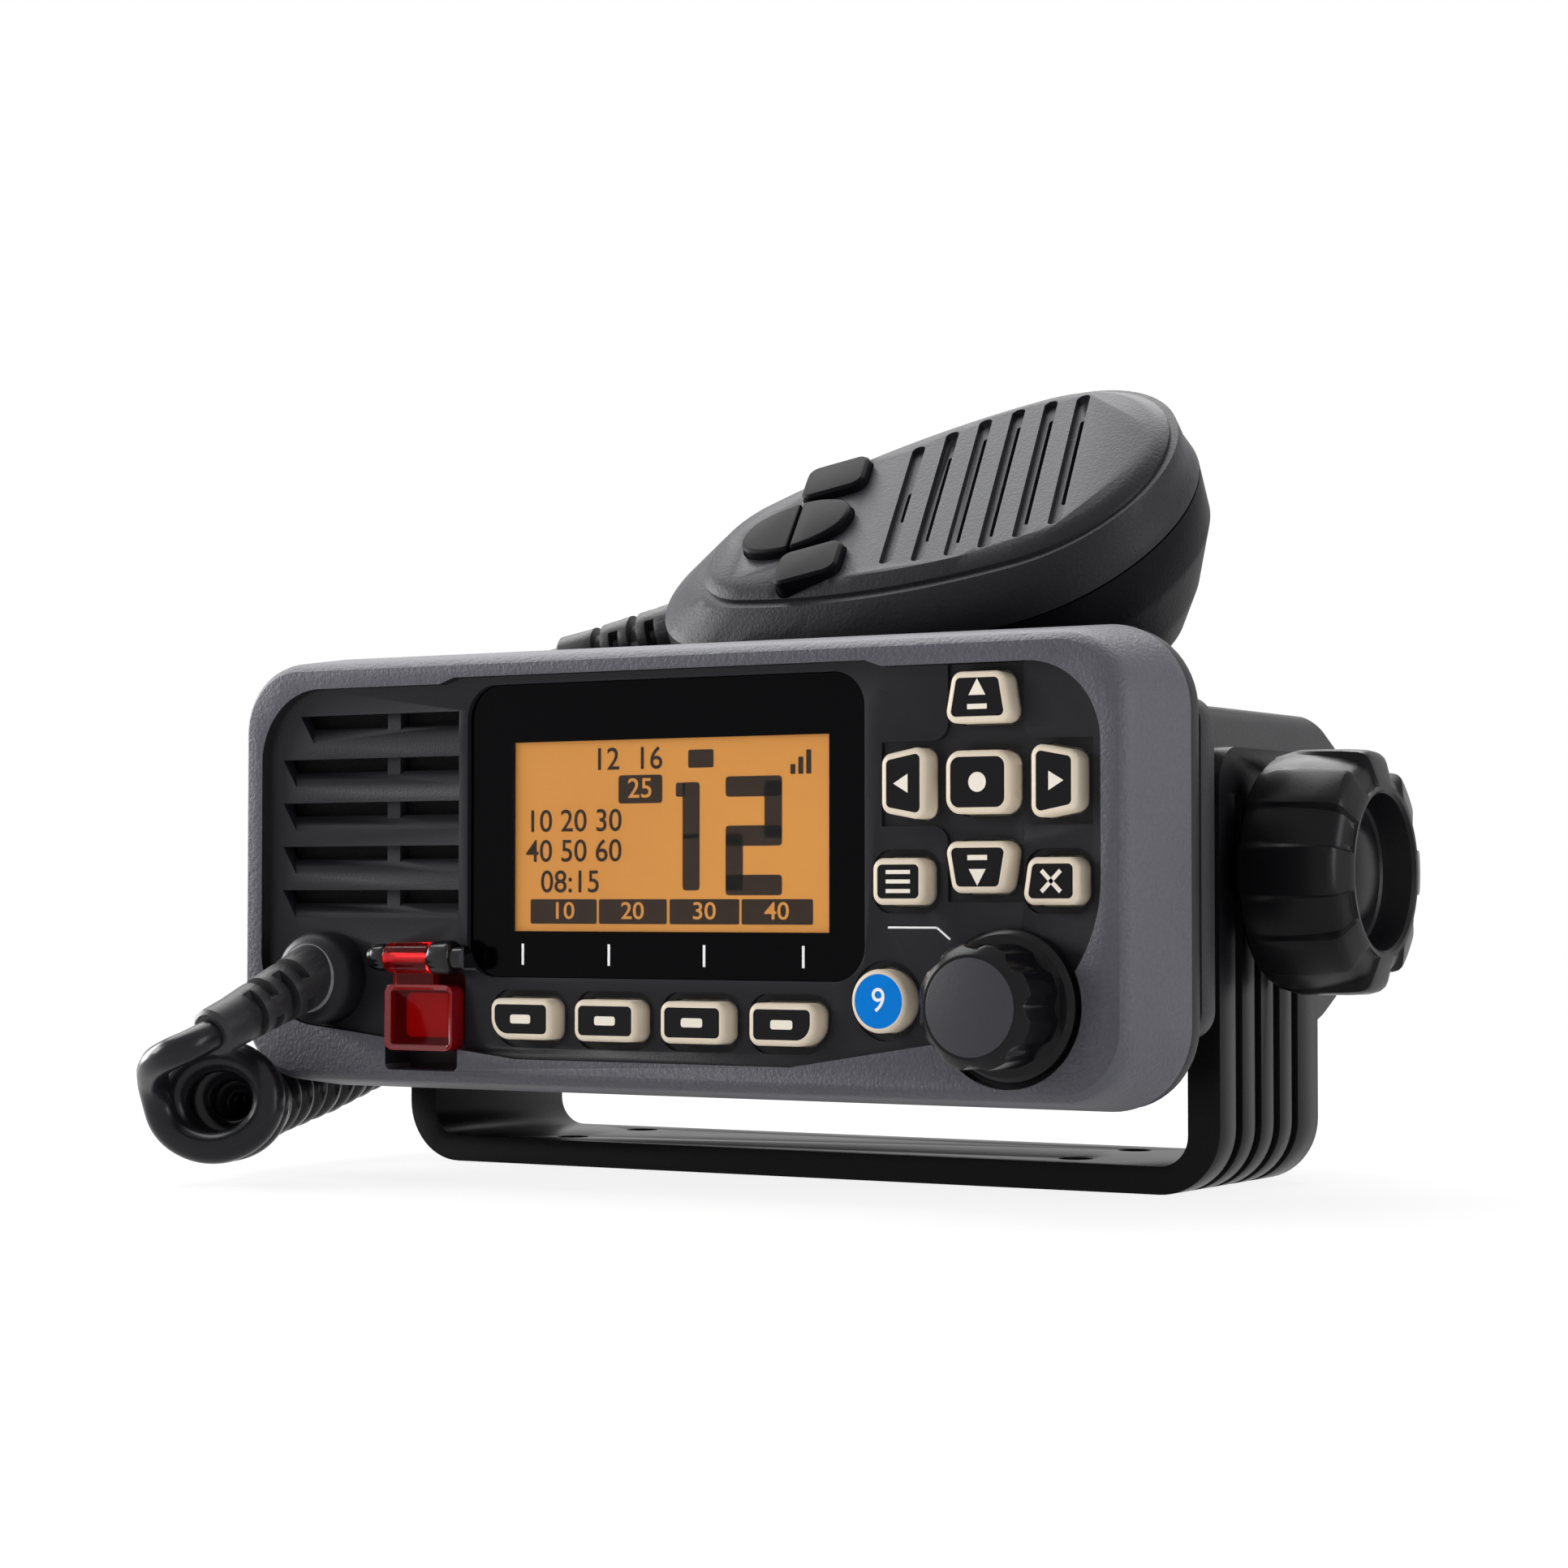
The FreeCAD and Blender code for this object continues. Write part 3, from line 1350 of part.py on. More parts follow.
def case_outline(inset, taper=0):
    """The case's outline drawn in by an inset, and the tail by its taper too."""
    taper = sized(taper)
    return oval(
        s.mic_head_at, s.mic_head_radius, taper - s.mic_tail_at, s.mic_tail_radius - taper,
        s.mic_side_radius, sized(inset),
    )


def face_outline(inset):
    return oval(
        s.face_head_at, s.face_head_radius, -s.face_tail_at, s.face_tail_radius,
        s.face_side_radius, sized(inset),
    )


def rocker_outline(grow):
    middle = -s.rocker_at
    return oval(
        middle + s.rocker_reach, s.rocker_end, middle - s.rocker_reach, s.rocker_end,
        s.rocker_side, -sized(grow),
    )


def side_key_outline(side, grow):
    return centred(
        -s.side_key_at, side * s.side_key_out, s.side_key_long + 2 * grow,
        s.side_key_wide + 2 * grow, 2 + grow,
    )


def talk_outline(proud, grow, room=0):
    """The talk bar's outline: a flat inner side and an outer side that follows the case."""
    x0 = s.talk_from - grow
    x1 = s.talk_to + grow
    head = s.mic_head_radius + proud
    side = s.mic_side_radius + proud
    length = s.mic_head_at + s.mic_tail_at
    to_tail = s.mic_side_radius - s.mic_tail_radius
    to_head = s.mic_side_radius - s.mic_head_radius
    along = (length * length + to_tail * to_tail - to_head * to_head) / (2 * length)
    drop = (to_tail * to_tail - along * along).root()
    middle = along - s.mic_tail_at
    joint_x = s.mic_head_at + head * (s.mic_head_at - middle) / to_head
    joint_y = head * drop / to_head
    high = (head * head - (x1 - s.mic_head_at) * (x1 - s.mic_head_at)).root()
    low = (side * side - (x0 - middle) * (x0 - middle)).root() - drop
    inner = s.mic_head_radius * 0.4 - grow - room
    return [(x0, inner), (x1, inner), (x1, high, head), (joint_x, joint_y, side), (x0, low)]


def mic_slots():
    """Grooves whose ends follow a shallow curve, with vents that follow a rounder one."""
    cutters = []
    for index in range(MIC_SLOTS):
        at = s.mic_slot_pitch * index
        off = at - s.mic_slot_pitch * 3
        long = s.mic_slot_half - off * off / s.mic_slot_sweep
        half = s.mic_slot_width / 2
        groove = rounded(at - half, -long, at + half, long, half * 0.9)
        cutters.append(prism("mic_slot%d" % index, groove, -s.mic_slot_depth, 1))
        reach = (s.mic_vent_reach * s.mic_vent_reach - off * off).root() * s.mic_vent_share
        edge = at + half - 0.1
        vent = rounded(edge - s.mic_vent_width, -reach, edge, reach, s.mic_vent_width * 0.45)
        cutters.append(prism("mic_vent%d" % index, vent, -s.mic_face_wall - 1, 0))
    return cutters


def cord_hole(name):
    hole = circle(-s.mic_relief_side, -s.mic_relief_deep, s.mic_relief_root + 0.05)
    return prism(name, hole, -s.mic_tail_at - s.mic_tail_radius - 2, -s.mic_tail_at - 9, "X")


mic_flange_back = -s.mic_face_wall - 0.05
mic_flange_low = mic_flange_back - s.key_flange_thick


def mic_front():
    seam = -s.mic_split
    step = -s.face_step
    outer = lofted("mic_face_loft", [
        (case_outline(0), seam), (case_outline(s.mic_brow_inset), -s.mic_brow),
        (face_outline(-s.face_margin), step - 0.6),
    ])
    plinth = prism("mic_plinth", face_outline(0), step - 1, step)
    crown = lofted("mic_crown", [(face_outline(0), step), (face_outline(s.face_slope), 0)])
    ceiling = -s.mic_face_wall
    hollow = lofted("mic_face_hollow", [
        (case_outline(s.mic_wall), seam), (face_outline(s.face_room), ceiling),
    ])
    shell = cut("mic_face_shell", fuse("mic_face_solid", outer, plinth, crown), hollow)
    posts = [
        prism("mic_post%d" % index, circle(x, y, 1.8), -s.mic_board_at, ceiling + 0.5)
        for index, (x, y) in enumerate(mic_posts())
    ]
    grow = s.mic_key_clearance
    cutters = mic_slots() + [cord_hole("cord_hole_front")]
    cutters.append(prism("rocker_hole", rocker_outline(grow), ceiling - 0.2, 1))
    for name, side in (("near", -1), ("far", 1)):
        room = side_key_outline(side, grow)
        cutters.append(prism("side_hole_" + name, room, mic_flange_low - s.mic_key_travel - 0.3, 1))
    with_posts = fuse("mic_face_posted", shell, *posts)
    on_microphone("mic_front_shell", cut("mic_face_finished", with_posts, *cutters))


def mic_posts():
    x0 = -s.mic_tail_at - 2
    x1 = s.mic_slot_pitch * MIC_SLOTS - 2.4
    return [(x0, -8), (x0, 8), (x1, -10), (x1, 10)]


def back_cut(name, offset):
    """Everything beyond the microphone's flat, sloping back."""
    slope = s.mic_back_tilt.sine() / s.mic_back_tilt.cosine()
    x0 = -s.mic_tail_at * 2
    x1 = s.mic_head_at * 3
    near = -s.mic_back_at + offset - (x0 - s.mic_back_mid) * slope
    far = -s.mic_back_at + offset - (x1 - s.mic_back_mid) * slope
    deep = -s.mic_end_at * 2
    half = s.mic_head_radius * 2
    return prism(name, [(x0, deep), (x1, deep), (x1, far), (x0, near)], -half, half, "Y")


def back_loft(name, start, wall):
    taper = s.mic_taper
    return lofted(name, [
        (case_outline(wall), start),
        (case_outline(s.mic_flank_inset + wall, taper * 0.3), -s.mic_flank_at),
        (case_outline(s.mic_belly_inset + wall, taper), -s.mic_belly_at),
        (case_outline(s.mic_end_inset + wall * 0.5, taper * 0.9), -s.mic_end_at),
    ])


def mic_back():
    seam = -s.mic_split
    start = seam - s.mic_groove
    wall = s.mic_wall
    outer = back_loft("mic_back_loft", start, 0)
    inner = back_loft("mic_back_hollow", start, wall)
    lip = prism("mic_back_lip", case_outline(s.mic_groove_inset), start, seam)
    mouth = prism("mic_back_mouth", case_outline(wall), start - 0.1, seam + 1)
    solid = fuse("mic_back_solid", cut("mic_back_flat", outer, back_cut("mic_back_plane", 0)), lip)
    hollow = cut("mic_back_room", inner, back_cut("mic_back_floor", wall))
    grow = s.mic_key_clearance
    outline = talk_outline(s.talk_proud + 3, grow, s.talk_travel)
    talk = prism("talk_hole", outline, -s.talk_back - grow, grow - s.talk_front)
    shell = cut("mic_back_finished", solid, hollow, mouth, talk, cord_hole("cord_hole_back"))
    on_microphone("mic_back_shell", shell)
    neck = s.hanger_radius - 2.5
    button = turned("hanger", [
        (0, -5), (s.hanger_radius - 0.8, -5), (s.hanger_radius, -4.2), (s.hanger_radius, -3.2),
        (neck, -3.2), (neck, -1.5), (neck + 2, -1.5), (neck + 2, 0), (0, 0),
    ])
    place(button, s.mic_back_mid, 0, -s.mic_back_at, 0, s.mic_back_tilt, 0, microphone)
    piece("mic_hanger_button", button)


def mic_inside():
    top = -s.mic_board_at
    x0 = -s.mic_tail_at - 4
    x1 = s.mic_slot_pitch * MIC_SLOTS + 1
    blank = rounded(x0, -13, x1, 13, 3)
    on_microphone("mic_board", prism("mic_board_blank", blank, top - s.board_thick, top))
    at = s.mic_slot_pitch * (MIC_SLOTS - 1) / 2
    can = circle(at, 0, s.capsule_radius)
    on_microphone("mic_capsule", prism("capsule", can, top, -s.mic_face_wall - 0.1))


def mic_keys():
    """Each key is a cap, a flange behind the face and a stem over its switch."""
    back = mic_flange_back
    flange_low = mic_flange_low
    board = -s.mic_board_at
    top = s.mic_key_proud
    split = s.rocker_split / 2
    middle = -s.rocker_at
    far = s.rocker_reach + s.rocker_end + 3
    for label, side in (("mic_key_down", -1), ("mic_key_up", 1)):
        cap = prism(label + "_cap", rocker_outline(sized(0)), flange_low, top)
        ease(cap, "Chamfer", s.key_bevel, at_height(top))
        flange = prism(label + "_flange", rocker_outline(s.mic_key_flange), flange_low, back)
        ends = (middle + split, middle + far) if side > 0 else (middle - far, middle - split)
        half = prism(label + "_half", rounded(ends[0], -far, ends[1], far, 0.1), flange_low, top)
        whole = common(label + "_key", fuse(label + "_whole", cap, flange), half)
        foot = circle(middle + side * s.rocker_reach, 0, s.mic_stem_radius)
        stem = prism(label + "_stem", foot, board + s.mic_key_travel + 0.1, flange_low)
        on_microphone(label, fuse(label + "_moulding", whole, stem))
    for label, side in (("mic_key_high_low", 1), ("mic_key_sixteen", -1)):
        cap = prism(label + "_cap", side_key_outline(side, sized(0)), flange_low, top)
        ease(cap, "Chamfer", s.key_bevel, at_height(top))
        flange = common(
            label + "_flange_cut",
            prism(label + "_flange", side_key_outline(side, s.mic_key_flange), flange_low, back),
            prism(label + "_room", face_outline(s.face_room + 0.3), flange_low, back),
        )
        foot = circle(-s.side_key_at, side * s.side_key_out, s.mic_stem_radius)
        stem = prism(label + "_stem", foot, board + s.mic_key_travel + 0.1, flange_low)
        on_microphone(label, fuse(label + "_moulding", cap, flange, stem))
    bar = prism("talk_bar", talk_outline(s.talk_proud, 0), -s.talk_back, -s.talk_front)
    rail_side = s.mic_head_radius - s.talk_rail
    rail = prism(
        "talk_rail",
        rounded(s.talk_from - 1.2, s.mic_head_radius * 0.4, s.talk_to - 4, rail_side, 1),
        -s.talk_back, -s.talk_front,
    )
    on_microphone("mic_talk_bar", fuse("talk_moulding", bar, rail))


def mic_relief():
    sleeve = relief_solid("mic_sleeve", s.mic_relief_length, s.mic_relief_root)
    place(sleeve, -s.mic_relief_from, -s.mic_relief_side, -s.mic_relief_deep, 0, -90, 0, microphone)
    piece("mic_relief", sleeve)


# Curly cord. Its ends follow the reliefs; between them it hangs round the left-hand side.


def frame_of(values):
    numbers = [sized(value).number for value in values]
    return FreeCAD.Placement(Vector(*numbers[:3]), FreeCAD.Rotation(*numbers[3:]))


def from_panel(x, deep, up):
    """A point by its offset right of, behind and above the middle of the front rim."""
    return Vector(x, deep - s.front_reach.number, up + panel_up.number)


def cord_ends():
    base = face + s.gland_dome
    turn = FreeCAD.Rotation(-s.relief_lean.number, 0, 90 + s.relief_droop.number)
    front_way = turn.multVec(Vector(0, 0, 1))
    root = from_panel(-s.gland_x.number, -base.number, -s.gland_y.number)
    tilted = frame_of(microphone)
    sleeve_end = -(s.mic_relief_from + s.mic_relief_length).number
    back_tip = tilted.multVec(Vector(sleeve_end, -s.mic_relief_side.number, -s.mic_relief_deep.number))
    back_way = tilted.Rotation.multVec(Vector(-1, 0, 0))
    return root + front_way * s.relief_length.number, front_way, back_tip, back_way


def tube(label, points, diameter):
    """Straight runs joined by tangent arcs, with a round section."""
    edges = []
    start = points[0]
    length = 0
    radii = []
    for index in range(1, len(points) - 1):
        corner = points[index]
        into = (corner - points[index - 1]).normalize()
        out = (points[index + 1] - corner).normalize()
        shorter = min((corner - points[index - 1]).Length, (points[index + 1] - corner).Length)
        turn = into.getAngle(out)
        trim = 0.45 * shorter
        radius = trim / math.tan(turn / 2)
        radii.append(radius)
        first = corner - into * trim
        last = corner + out * trim
        bulge = radius / math.cos(turn / 2) - radius
        middle = corner + (out - into).normalize() * bulge
        edges.append(Part.LineSegment(start, first).toShape())
        edges.append(Part.Arc(first, middle, last).toShape())
        length += (first - start).Length + radius * turn
        start = last
    edges.append(Part.LineSegment(start, points[-1]).toShape())
    length += (points[-1] - start).Length
    spine = Part.Wire(edges)
    way = points[1] - points[0]
    section = Part.Wire([Part.Circle(points[0], way, diameter / 2).toShape()])
    solid = spine.makePipeShell([section], True, False, 2)
    expected = math.pi * diameter * diameter / 4 * length
    print("%s: length %.1f, radii %s" % (label, length, " ".join("%.1f" % r for r in radii)))
    print("%s: volume %.1f, section by length %.1f" % (label, solid.Volume, expected))
    feature = document.addObject("Part::Feature", label)
    feature.Shape = solid
    return piece(label, feature)


def cord():
    thin = s.cord_diameter.number
    fat = s.coil_diameter.number
    offset = (fat - thin) / 2
    front_tip, front_way, back_tip, back_way = cord_ends()
    route = [
        from_panel(-62, -15, -33), from_panel(-78.2, 0.5, -35.6), from_panel(-82.6, 20, -34.3),
        from_panel(-84, 34, -31.4), from_panel(-85, 50, -28), from_panel(-84.5, 72, -23.5),
        from_panel(-82, 88, -6), from_panel(-79.5, 92, 12),
    ]
    tube("cord_coil", route, fat)
    start_way = (route[1] - route[0]).normalize()
    start_side = (Vector(0, 0, 1) - start_way * start_way.z).normalize()
    enter = route[0] + start_side * offset
    tube("cord_lead", [
        front_tip, front_tip + front_way * 4, from_panel(-61.3, -33.5, -29),
        from_panel(-59.9, -38.2, -33), from_panel(-58.8, -38, -37), from_panel(-57.2, -33.2, -40.2),
        from_panel(-55.8, -27, -39.6), from_panel(-55.2, -21.6, -36.6),
        from_panel(-56.4, -17.6, -32.2), enter - start_way * 4.5, enter,
    ], thin)
    end_way = (route[-1] - route[-2]).normalize()
    end_side = (Vector(1, 0, 0) - end_way * end_way.x).normalize()
    leave = route[-1] + end_side * offset
    tube("cord_tail", [
        leave, leave + end_way * 7, from_panel(-69.5, 89, 26), from_panel(-64.5, 79, 28.4),
        from_panel(-61.5, 66, 28.4), from_panel(-60.5, 54, 28.8), from_panel(-57.5, 44.5, 30),
        back_tip + back_way * 7, back_tip,
    ], thin)


# Build, check and export

for make in (
    bracket, clamps, front_housing, display, keys, distress_unit, volume_dial, loudspeaker,
    front_seal, chassis, electronics, rear_fittings, fastenings, gland, front_relief, mic_front,
    mic_back, mic_inside, mic_keys, mic_relief, cord,
):
    make()
document.recompute()

faults = [
    item.Label for item in document.Objects if "Invalid" in item.State or "Error" in item.State
]
for label, thing in pieces.items():
    if thing.Shape.isNull() or not thing.Shape.isValid() or not thing.Shape.Solids:
        faults.append(label)
if faults:
    raise SystemExit("not sound: " + ", ".join(faults))

os.makedirs("parts", exist_ok=True)
for label, thing in pieces.items():
    thing.Shape.exportStep("parts/%s.step" % label)
print("%d sub-parts written" % len(pieces))
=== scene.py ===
import json
import math

import bmesh
import bpy
from mathutils import Matrix, Vector


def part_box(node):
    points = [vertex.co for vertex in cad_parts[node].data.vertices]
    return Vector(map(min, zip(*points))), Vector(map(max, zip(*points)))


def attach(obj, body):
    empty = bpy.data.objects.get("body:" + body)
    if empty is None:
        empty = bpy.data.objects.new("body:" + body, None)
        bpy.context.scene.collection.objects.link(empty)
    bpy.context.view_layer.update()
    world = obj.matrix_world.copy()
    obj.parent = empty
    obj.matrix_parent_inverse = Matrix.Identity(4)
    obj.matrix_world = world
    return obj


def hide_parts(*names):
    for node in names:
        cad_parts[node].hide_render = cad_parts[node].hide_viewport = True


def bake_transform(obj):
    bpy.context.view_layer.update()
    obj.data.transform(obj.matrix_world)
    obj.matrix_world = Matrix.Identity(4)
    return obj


# A marine radio in its bracket, with its hand microphone and curly cord.
# Everything is in metres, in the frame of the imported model: +Z up, front towards -Y.

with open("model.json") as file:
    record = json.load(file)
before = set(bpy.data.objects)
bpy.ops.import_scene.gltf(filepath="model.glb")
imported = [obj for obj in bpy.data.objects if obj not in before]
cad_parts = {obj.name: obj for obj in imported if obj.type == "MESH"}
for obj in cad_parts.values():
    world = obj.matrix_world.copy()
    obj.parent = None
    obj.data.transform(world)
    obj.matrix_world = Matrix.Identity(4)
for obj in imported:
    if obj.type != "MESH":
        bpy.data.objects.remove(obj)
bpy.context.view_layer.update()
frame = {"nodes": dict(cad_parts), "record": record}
nodes = frame["nodes"]
print("frame loaded:", len(nodes), "nodes")

mm = 0.001
panelCentre = Vector((0, -55.5, 46.4))  # middle of the front rim, in mm


def fromPanel(x, deep, up):
    # a point right of, behind and above the middle of the rim, in mm
    return (panelCentre + Vector((x, deep, up))) * mm


# camera, floor and lamps

cameraValues = {
    "place": (272.69, -464.99, 41.91),
    "azimuth": 31.42,
    "pitch": 1.94,
    "lens": 78.95,
    "sensor": 36.0,
    "near": 0.01,
    "far": 20,
}


def makeCamera(values):
    data = bpy.data.cameras.new("studioCamera")
    data.lens = values["lens"]
    data.sensor_width = values["sensor"]
    data.clip_start = values["near"]
    data.clip_end = values["far"]
    camera = bpy.data.objects.new("studioCamera", data)
    camera.location = Vector(values["place"]) * mm
    camera.rotation_euler = (
        math.radians(90 + values["pitch"]), 0, math.radians(values["azimuth"]),
    )
    bpy.context.scene.collection.objects.link(camera)
    bpy.context.scene.camera = camera


stageValues = {
    "floorSize": 6.0,
    "floorBelow": 0.0002,  # keeps the floor clear of the bracket's flat base
    "floorColour": (0.94, 0.94, 0.94),
    "floorGlow": 0.86,  # how much of the floor's own white the lens sees
    "whiteFrom": (0.25, 0.6),  # metres from the middle over which the floor turns wholly white
    "surround": 1.0,
    "ambient": 0.4,
}

lampValues = {
    "overhead": {"place": (-0.35, 0.3, 0.85), "aim": (-0.03, 0, 0.07), "size": (1.2, 0.8), "power": 17.0},
    "rightSide": {"place": (1.0, 0.05, 0.25), "aim": (0, 0, 0.05), "size": (0.4, 0.6), "power": 5.2},
    "leftSide": {"place": (-0.9, 0.0, 0.22), "aim": (-0.07, 0, 0.05), "size": (0.35, 0.5), "power": 8.0},
    "front": {"place": (-0.8, -0.38, 0.32), "aim": (-0.06, -0.05, 0.06), "size": (0.3, 0.3), "power": 4.0},
}


def seenDirectly(tree):
    # one where the lens, a reflection or a glass looks, nought for light on the object
    light = tree.nodes.new("ShaderNodeLightPath")
    seen = light.outputs["Is Camera Ray"]
    for name in ("Is Glossy Ray", "Is Transmission Ray"):
        larger = tree.nodes.new("ShaderNodeMath")
        larger.operation = "MAXIMUM"
        tree.links.new(seen, larger.inputs[0])
        tree.links.new(light.outputs[name], larger.inputs[1])
        seen = larger.outputs[0]
    return seen


def makeStage(values, lamps):
    world = bpy.data.worlds.new("studio")
    bpy.context.scene.world = world
    world.use_nodes = True
    tree = world.node_tree
    tree.nodes.clear()
    soft = tree.nodes.new("ShaderNodeBackground")
    soft.inputs["Color"].default_value = (values["ambient"],) * 3 + (1,)
    bright = tree.nodes.new("ShaderNodeBackground")
    bright.inputs["Color"].default_value = (values["surround"],) * 3 + (1,)
    both = tree.nodes.new("ShaderNodeMixShader")
    tree.links.new(seenDirectly(tree), both.inputs["Fac"])
    tree.links.new(soft.outputs[0], both.inputs[1])
    tree.links.new(bright.outputs[0], both.inputs[2])
    output = tree.nodes.new("ShaderNodeOutputWorld")
    tree.links.new(both.outputs[0], output.inputs["Surface"])

    mesh = bpy.data.meshes.new("floor")
    bm = bmesh.new()
    bmesh.ops.create_grid(bm, x_segments=1, y_segments=1, size=values["floorSize"])
    bm.to_mesh(mesh)
    bm.free()
    floor = bpy.data.objects.new("floor", mesh)
    floor.location.z = -values["floorBelow"]
    bpy.context.scene.collection.objects.link(floor)
    paint = bpy.data.materials.new("floorPaint")
    paint.use_nodes = True
    tree = paint.node_tree
    tree.nodes.clear()
    matt = tree.nodes.new("ShaderNodeBsdfDiffuse")
    matt.inputs["Color"].default_value = values["floorColour"] + (1,)
    glow = tree.nodes.new("ShaderNodeEmission")
    glow.inputs["Color"].default_value = (1, 1, 1, 1)
    spot = tree.nodes.new("ShaderNodeTexCoord").outputs["Object"]
    distance = tree.nodes.new("ShaderNodeVectorMath")
    distance.operation = "LENGTH"
    tree.links.new(spot, distance.inputs[0])
    fade = tree.nodes.new("ShaderNodeMapRange")
    fade.interpolation_type = "SMOOTHSTEP"
    tree.links.new(distance.outputs["Value"], fade.inputs["Value"])
    fade.inputs["From Min"].default_value, fade.inputs["From Max"].default_value = values["whiteFrom"]
    fade.inputs["To Min"].default_value = values["floorGlow"]
    share = tree.nodes.new("ShaderNodeMath")
    share.operation = "MULTIPLY"
    tree.links.new(fade.outputs["Result"], share.inputs[1])
    tree.links.new(seenDirectly(tree), share.inputs[0])
    blend = tree.nodes.new("ShaderNodeMixShader")
    tree.links.new(share.outputs[0], blend.inputs["Fac"])
    tree.links.new(matt.outputs[0], blend.inputs[1])
    tree.links.new(glow.outputs[0], blend.inputs[2])
    output = tree.nodes.new("ShaderNodeOutputMaterial")
    tree.links.new(blend.outputs[0], output.inputs["Surface"])
    mesh.materials.append(paint)

    for name, lamp in lamps.items():
        data = bpy.data.lights.new(name, "AREA")
        data.shape = "RECTANGLE"
        data.size, data.size_y = lamp["size"]
        data.energy = lamp["power"]
        holder = bpy.data.objects.new(name, data)
        holder.location = lamp["place"]
        aim = Vector(lamp["aim"]) - Vector(lamp["place"])
        holder.rotation_euler = aim.to_track_quat("-Z", "Y").to_euler()
        bpy.context.scene.collection.objects.link(holder)
    bpy.context.scene.view_settings.view_transform = "Standard"


makeCamera(cameraValues)
makeStage(stageValues, lampValues)
print("camera and lamps made")

# shader groups: each effect is built once and placed with its own values


def newGroup(name, inputs, outputs):
    group = bpy.data.node_groups.new(name, "ShaderNodeTree")
    for label, kind, value in inputs:
        socket = group.interface.new_socket(label, in_out="INPUT", socket_type="NodeSocket" + kind)
        if value is not None:
            socket.default_value = value
    for label, kind in outputs:
        group.interface.new_socket(label, in_out="OUTPUT", socket_type="NodeSocket" + kind)
    return group, group.nodes.new("NodeGroupInput"), group.nodes.new("NodeGroupOutput")


def mathNode(tree, operation, first, second):
    node = tree.nodes.new("ShaderNodeMath")
    node.operation = operation
    for socket, value in zip(node.inputs, (first, second)):
        if isinstance(value, (int, float)):
            socket.default_value = value
        else:
            tree.links.new(value, socket)
    return node.outputs[0]


def noiseNode(tree, where, scale, detail):
    noise = tree.nodes.new("ShaderNodeTexNoise")
    noise.inputs["Detail"].default_value = detail
    noise.inputs["Roughness"].default_value = 0.6
    tree.links.new(where, noise.inputs["Vector"])
    if isinstance(scale, (int, float)):
        noise.inputs["Scale"].default_value = scale
    else:
        tree.links.new(scale, noise.inputs["Scale"])
    return noise.outputs["Fac"]


skinValues = {"grainDetail": 2, "broadScale": 28, "broadDetail": 3}


def mouldedSkinGroup(values):
    # spark-eroded grain of a moulding, with broad uneven sheen and tone
    group, given, made = newGroup(
        "mouldedSkin",
        [("Colour", "Color", None), ("Roughness", "Float", 0.5), ("Grain Scale", "Float", 2500.0),
         ("Tone Spread", "Float", 0.1), ("Sheen Spread", "Float", 0.1)],
        [("Colour", "Color"), ("Roughness", "Float"), ("Height", "Float")],
    )
    where = group.nodes.new("ShaderNodeTexCoord").outputs["Object"]
    grain = noiseNode(group, where, given.outputs["Grain Scale"], values["grainDetail"])
    broad = noiseNode(group, where, values["broadScale"], values["broadDetail"])
    tone = mathNode(group, "SUBTRACT", mathNode(group, "ADD", grain, broad), 1)
    gain = mathNode(group, "ADD", mathNode(group, "MULTIPLY", tone, given.outputs["Tone Spread"]), 1)
    scaled = group.nodes.new("ShaderNodeVectorMath")
    scaled.operation = "SCALE"
    group.links.new(given.outputs["Colour"], scaled.inputs[0])
    group.links.new(gain, scaled.inputs["Scale"])
    group.links.new(scaled.outputs[0], made.inputs["Colour"])
    uneven = mathNode(
        group, "MULTIPLY", mathNode(group, "SUBTRACT", broad, 0.5), given.outputs["Sheen Spread"]
    )
    group.links.new(
        mathNode(group, "ADD", uneven, given.outputs["Roughness"]), made.inputs["Roughness"]
    )
    group.links.new(grain, made.inputs["Height"])
    return group


turnedValues = {"lineDetail": 1, "toneFrom": 0.85, "toneSpread": 0.3, "sheenSpread": 0.2}


def turnedMetalGroup(values):
    # fine uneven sheen and tone, as a cutting tool leaves them
    group, given, made = newGroup(
        "turnedMetal",
        [("Colour", "Color", None), ("Roughness", "Float", 0.3), ("Line Scale", "Float", 900.0)],
        [("Colour", "Color"), ("Roughness", "Float"), ("Height", "Float")],
    )
    where = group.nodes.new("ShaderNodeTexCoord").outputs["Object"]
    lines = noiseNode(group, where, given.outputs["Line Scale"], values["lineDetail"])
    scaled = group.nodes.new("ShaderNodeVectorMath")
    scaled.operation = "SCALE"
    group.links.new(given.outputs["Colour"], scaled.inputs[0])
    tone = mathNode(group, "MULTIPLY", lines, values["toneSpread"])
    group.links.new(mathNode(group, "ADD", tone, values["toneFrom"]), scaled.inputs["Scale"])
    group.links.new(scaled.outputs[0], made.inputs["Colour"])
    uneven = mathNode(group, "MULTIPLY", lines, values["sheenSpread"])
    group.links.new(
        mathNode(group, "ADD", uneven, given.outputs["Roughness"]), made.inputs["Roughness"]
    )
    group.links.new(lines, made.inputs["Height"])
    return group


mouldedSkin = mouldedSkinGroup(skinValues)
turnedMetal = turnedMetalGroup(turnedValues)
grainStrength = 0.8
metalRelief = (0.15, 0.00002)  # strength, and depth in metres
metalLines = 900.0


